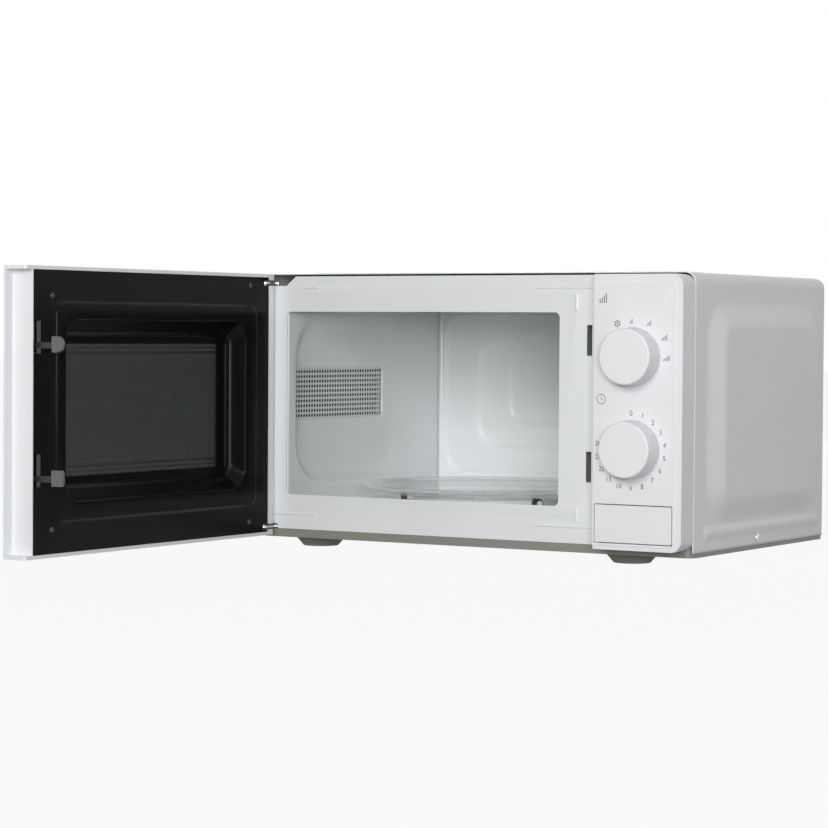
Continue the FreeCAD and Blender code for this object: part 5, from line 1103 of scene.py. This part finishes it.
def mark_text(figures, size):
    """Outline of some figures as flat points and faces, centred, with height size in mm."""
    curve = bpy.data.curves.new("figure", "FONT")
    curve.body = figures
    curve.resolution_u = 4
    holder = new_object("figure", curve)
    bpy.context.view_layer.update()
    graph = bpy.context.evaluated_depsgraph_get()
    mesh = bpy.data.meshes.new_from_object(holder.evaluated_get(graph))
    spots = [(v.co.x, v.co.y) for v in mesh.vertices]
    faces = [tuple(f.vertices) for f in mesh.polygons]
    bpy.data.objects.remove(holder)
    bpy.data.curves.remove(curve)
    bpy.data.meshes.remove(mesh)
    xs, ys = [p[0] for p in spots], [p[1] for p in spots]
    k = size / (max(ys) - min(ys))
    cx, cy = (max(xs) + min(xs)) / 2, (max(ys) + min(ys)) / 2
    return [((x - cx) * k * 0.92, (y - cy) * k) for x, y in spots], faces


def add_marks(name, shapes, material):
    """Thin print on the panel's face from shapes of ((points, faces), x, z)."""
    points, faces = [], []
    for (spots, polygons), x, z in shapes:
        base = len(points)
        points += [vec(x + u, PANEL_FRONT - 0.04, z + v) for u, v in spots]
        faces += [tuple(base + k for k in f) for f in polygons]
    marks = add_piece(name, points, faces, material, "oven", smooth=False)
    work = bmesh.new()
    work.from_mesh(marks.data)
    for face in work.faces:
        if face.normal.y > 0:
            face.normal_flip()
    work.to_mesh(marks.data)
    work.free()
    thicken(marks, PRINT_SHEET)


def stroke(x0, z0, x1, z1, width):
    """Straight line of some width as a flat shape."""
    dx, dz = x1 - x0, z1 - z0
    far = math.hypot(dx, dz)
    nx, nz = -dz / far * width / 2, dx / far * width / 2
    return ([(x0 + nx, z0 + nz), (x0 - nx, z0 - nz), (x1 - nx, z1 - nz), (x1 + nx, z1 + nz)],
            [(0, 1, 2, 3)])


def hoop(radius, width, count=40):
    """Ring of some width as a flat shape."""
    points = circle(radius - width / 2, count) + circle(radius + width / 2, count)
    return points, grid_faces(2, count, True)


def bars(heights, pitch, width):
    """Upright strokes side by side, as flat shapes."""
    start = -(len(heights) - 1) * pitch / 2
    return [stroke(start + k * pitch, 0, start + k * pitch, h, width)
            for k, h in enumerate(heights)]


def make_marks(mats):
    """Dial figures, level bars, a snowflake and a clock printed on the panel."""
    dark, light = [], []
    for k, figures in enumerate(FIGURES):
        a = math.radians(FIGURE_STEP * k)
        dark.append((mark_text(figures, FIGURE_HEIGHT),
                     FIGURE_CENTRE[0] + FIGURE_RING * math.sin(a),
                     FIGURE_CENTRE[1] + FIGURE_RING * math.cos(a)))
    for k in range(6):
        a = math.radians(30 + 60 * k)
        c, s = math.cos(a), math.sin(a)
        dark.append((stroke(0.7 * c, 0.7 * s, 3.2 * c, 3.2 * s, 0.55), *FLAKE))
        for turn in (-0.9, 0.9):
            dark.append((stroke(2.0 * c, 2.0 * s, 2.0 * c + 1.2 * math.cos(a + turn),
                                2.0 * s + 1.2 * math.sin(a + turn), 0.45), *FLAKE))
    dark += [(shape, *FULL_BARS) for shape in bars((3.2, 4.8, 6.4, 8.2), 2.0, 0.8)]
    dark.append((hoop(4.1, 0.5), *CLOCK))
    dark.append((stroke(0, 0, 0, 2.7, 0.4), *CLOCK))
    dark.append((stroke(0, 0, 1.9, 0, 0.4), *CLOCK))
    for x, z, heights in LEVELS:
        light += [(shape, x, z) for shape in bars(heights, 1.5, 1.1)]
    add_marks("panel_figures", dark, mats["ink"])
    add_marks("panel_levels", light, mats["pale_ink"])


def make_button_spring(mats):
    """Compression spring behind the button, as its own copy of the CAD coil riding on the oven."""
    coil = twin("button_coil", "button_spring", mats["spring_steel"], "oven", 0)
    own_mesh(coil)


def make_panel(mats):
    """Moulding, button, both dials, the print and the button's spring."""
    twin("panel_moulding", "control_panel", mats["white_plastic"], "oven", 0.5,
         angle=25, segments=3)
    twin("release_button", "door_button", mats["white_plastic"], "button", 0.4,
         segments=3)
    make_knob(mats, "power_dial", POWER_Z, "power_knob", "power_dial")
    make_knob(mats, "timer_dial", TIMER_Z, "timer_knob", "timer_dial")
    make_marks(mats)
    make_button_spring(mats)


# ---- fittings -----------------------------------------------------------------------
def make_tray(mats):
    """Clear tray with a rolled rim, and three drive blocks under it."""
    low = 50.1
    corners = [(0.0, 0.0, 0), (100.5, 0.0, 6.0), (118.5, 4.5, 3.0), (122.5, 6.2, 2.0),
               (122.5, 9.5, 1.8), (118.0, 9.2, 1.8), (99.0, 4.0, 8.0), (0.0, 4.0, 0)]
    tray = turned("tray_glass", corners, (*TABLE, low), (0, 0, 1), mats["tray_glass"], "tray",
                  160, 6)
    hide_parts("glass_turntable")
    points, faces = [], []
    for k in range(3):
        a = math.radians(150 + 120 * k)
        ca, sa = math.cos(a), math.sin(a)

        def place(u, v, z):
            """Point at u out from the tray's centre along this block's arm, v across it."""
            return vec(TABLE[0] + u * ca - v * sa, TABLE[1] + u * sa + v * ca, z)

        spots, sides = block(place, 10.0, 15.0, -4.0, 4.0, low - 3.4, low + 0.3)
        faces += [tuple(len(points) + i for i in face) for face in sides]
        points += spots
    lugs = add_piece("tray_blocks", points, faces, mats["tray_glass"], "tray")
    soften(lugs, 0.7, 40, 3)


# name, node, material, slot and rounding of the fixed pieces that copy a CAD piece
FITTINGS = (
    ("rear_panel", "back_panel", "grey_enamel", "white_enamel_steel", 0.2),
    ("floor_pan", "base_plate", "base_steel", "white_enamel_steel", 0.25),
    ("port_cover", "waveguide_cover", "mica", "mica", 0.2),
    ("hinge_top", "upper_hinge", "steel", "bright_steel", 0.3),
    ("hinge_bottom", "lower_hinge", "steel", "bright_steel", 0.3),
    ("case_fasteners", "case_screws", "zinc", "zinc_screw", 0.12),
    ("inlet_gland", "cord_gland", "black_plastic", "dark_plastic", 0.3),
)


def make_fittings(mats):
    """Mouth plate, rear panel, floor, hinges, screws, gland, rollers and feet."""
    twin("mouth_plate", "front_plate", mats["plate_enamel"], "oven", 0.25,
         angle=25)
    for name, node, material, slot, rounding in FITTINGS:
        twin(name, node, mats[material], "oven", rounding)
    twin("roller_frame", "roller_ring", mats["white_nylon"], "roller", 0.4)
    for k in (1, 2, 3):
        twin("wheel_tyre_%d" % k, "roller_wheel_%d" % k, mats["black_plastic"], "wheel_%d" % k,
             0.2)
    for place in ("front_left", "front_right", "rear_left", "rear_right"):
        twin("stand_" + place, "foot_" + place, mats["foot_rubber"], "oven",
             0.9, segments=3)


def make_all():
    """The studio, then the oven piece by piece."""
    make_camera()
    make_world()
    make_lights()
    make_floor()
    mats = make_materials()
    paint_nodes(mats)
    make_case(mats)
    make_cavity(mats)
    make_door(mats)
    make_panel(mats)
    make_tray(mats)
    make_fittings(mats)


make_all()
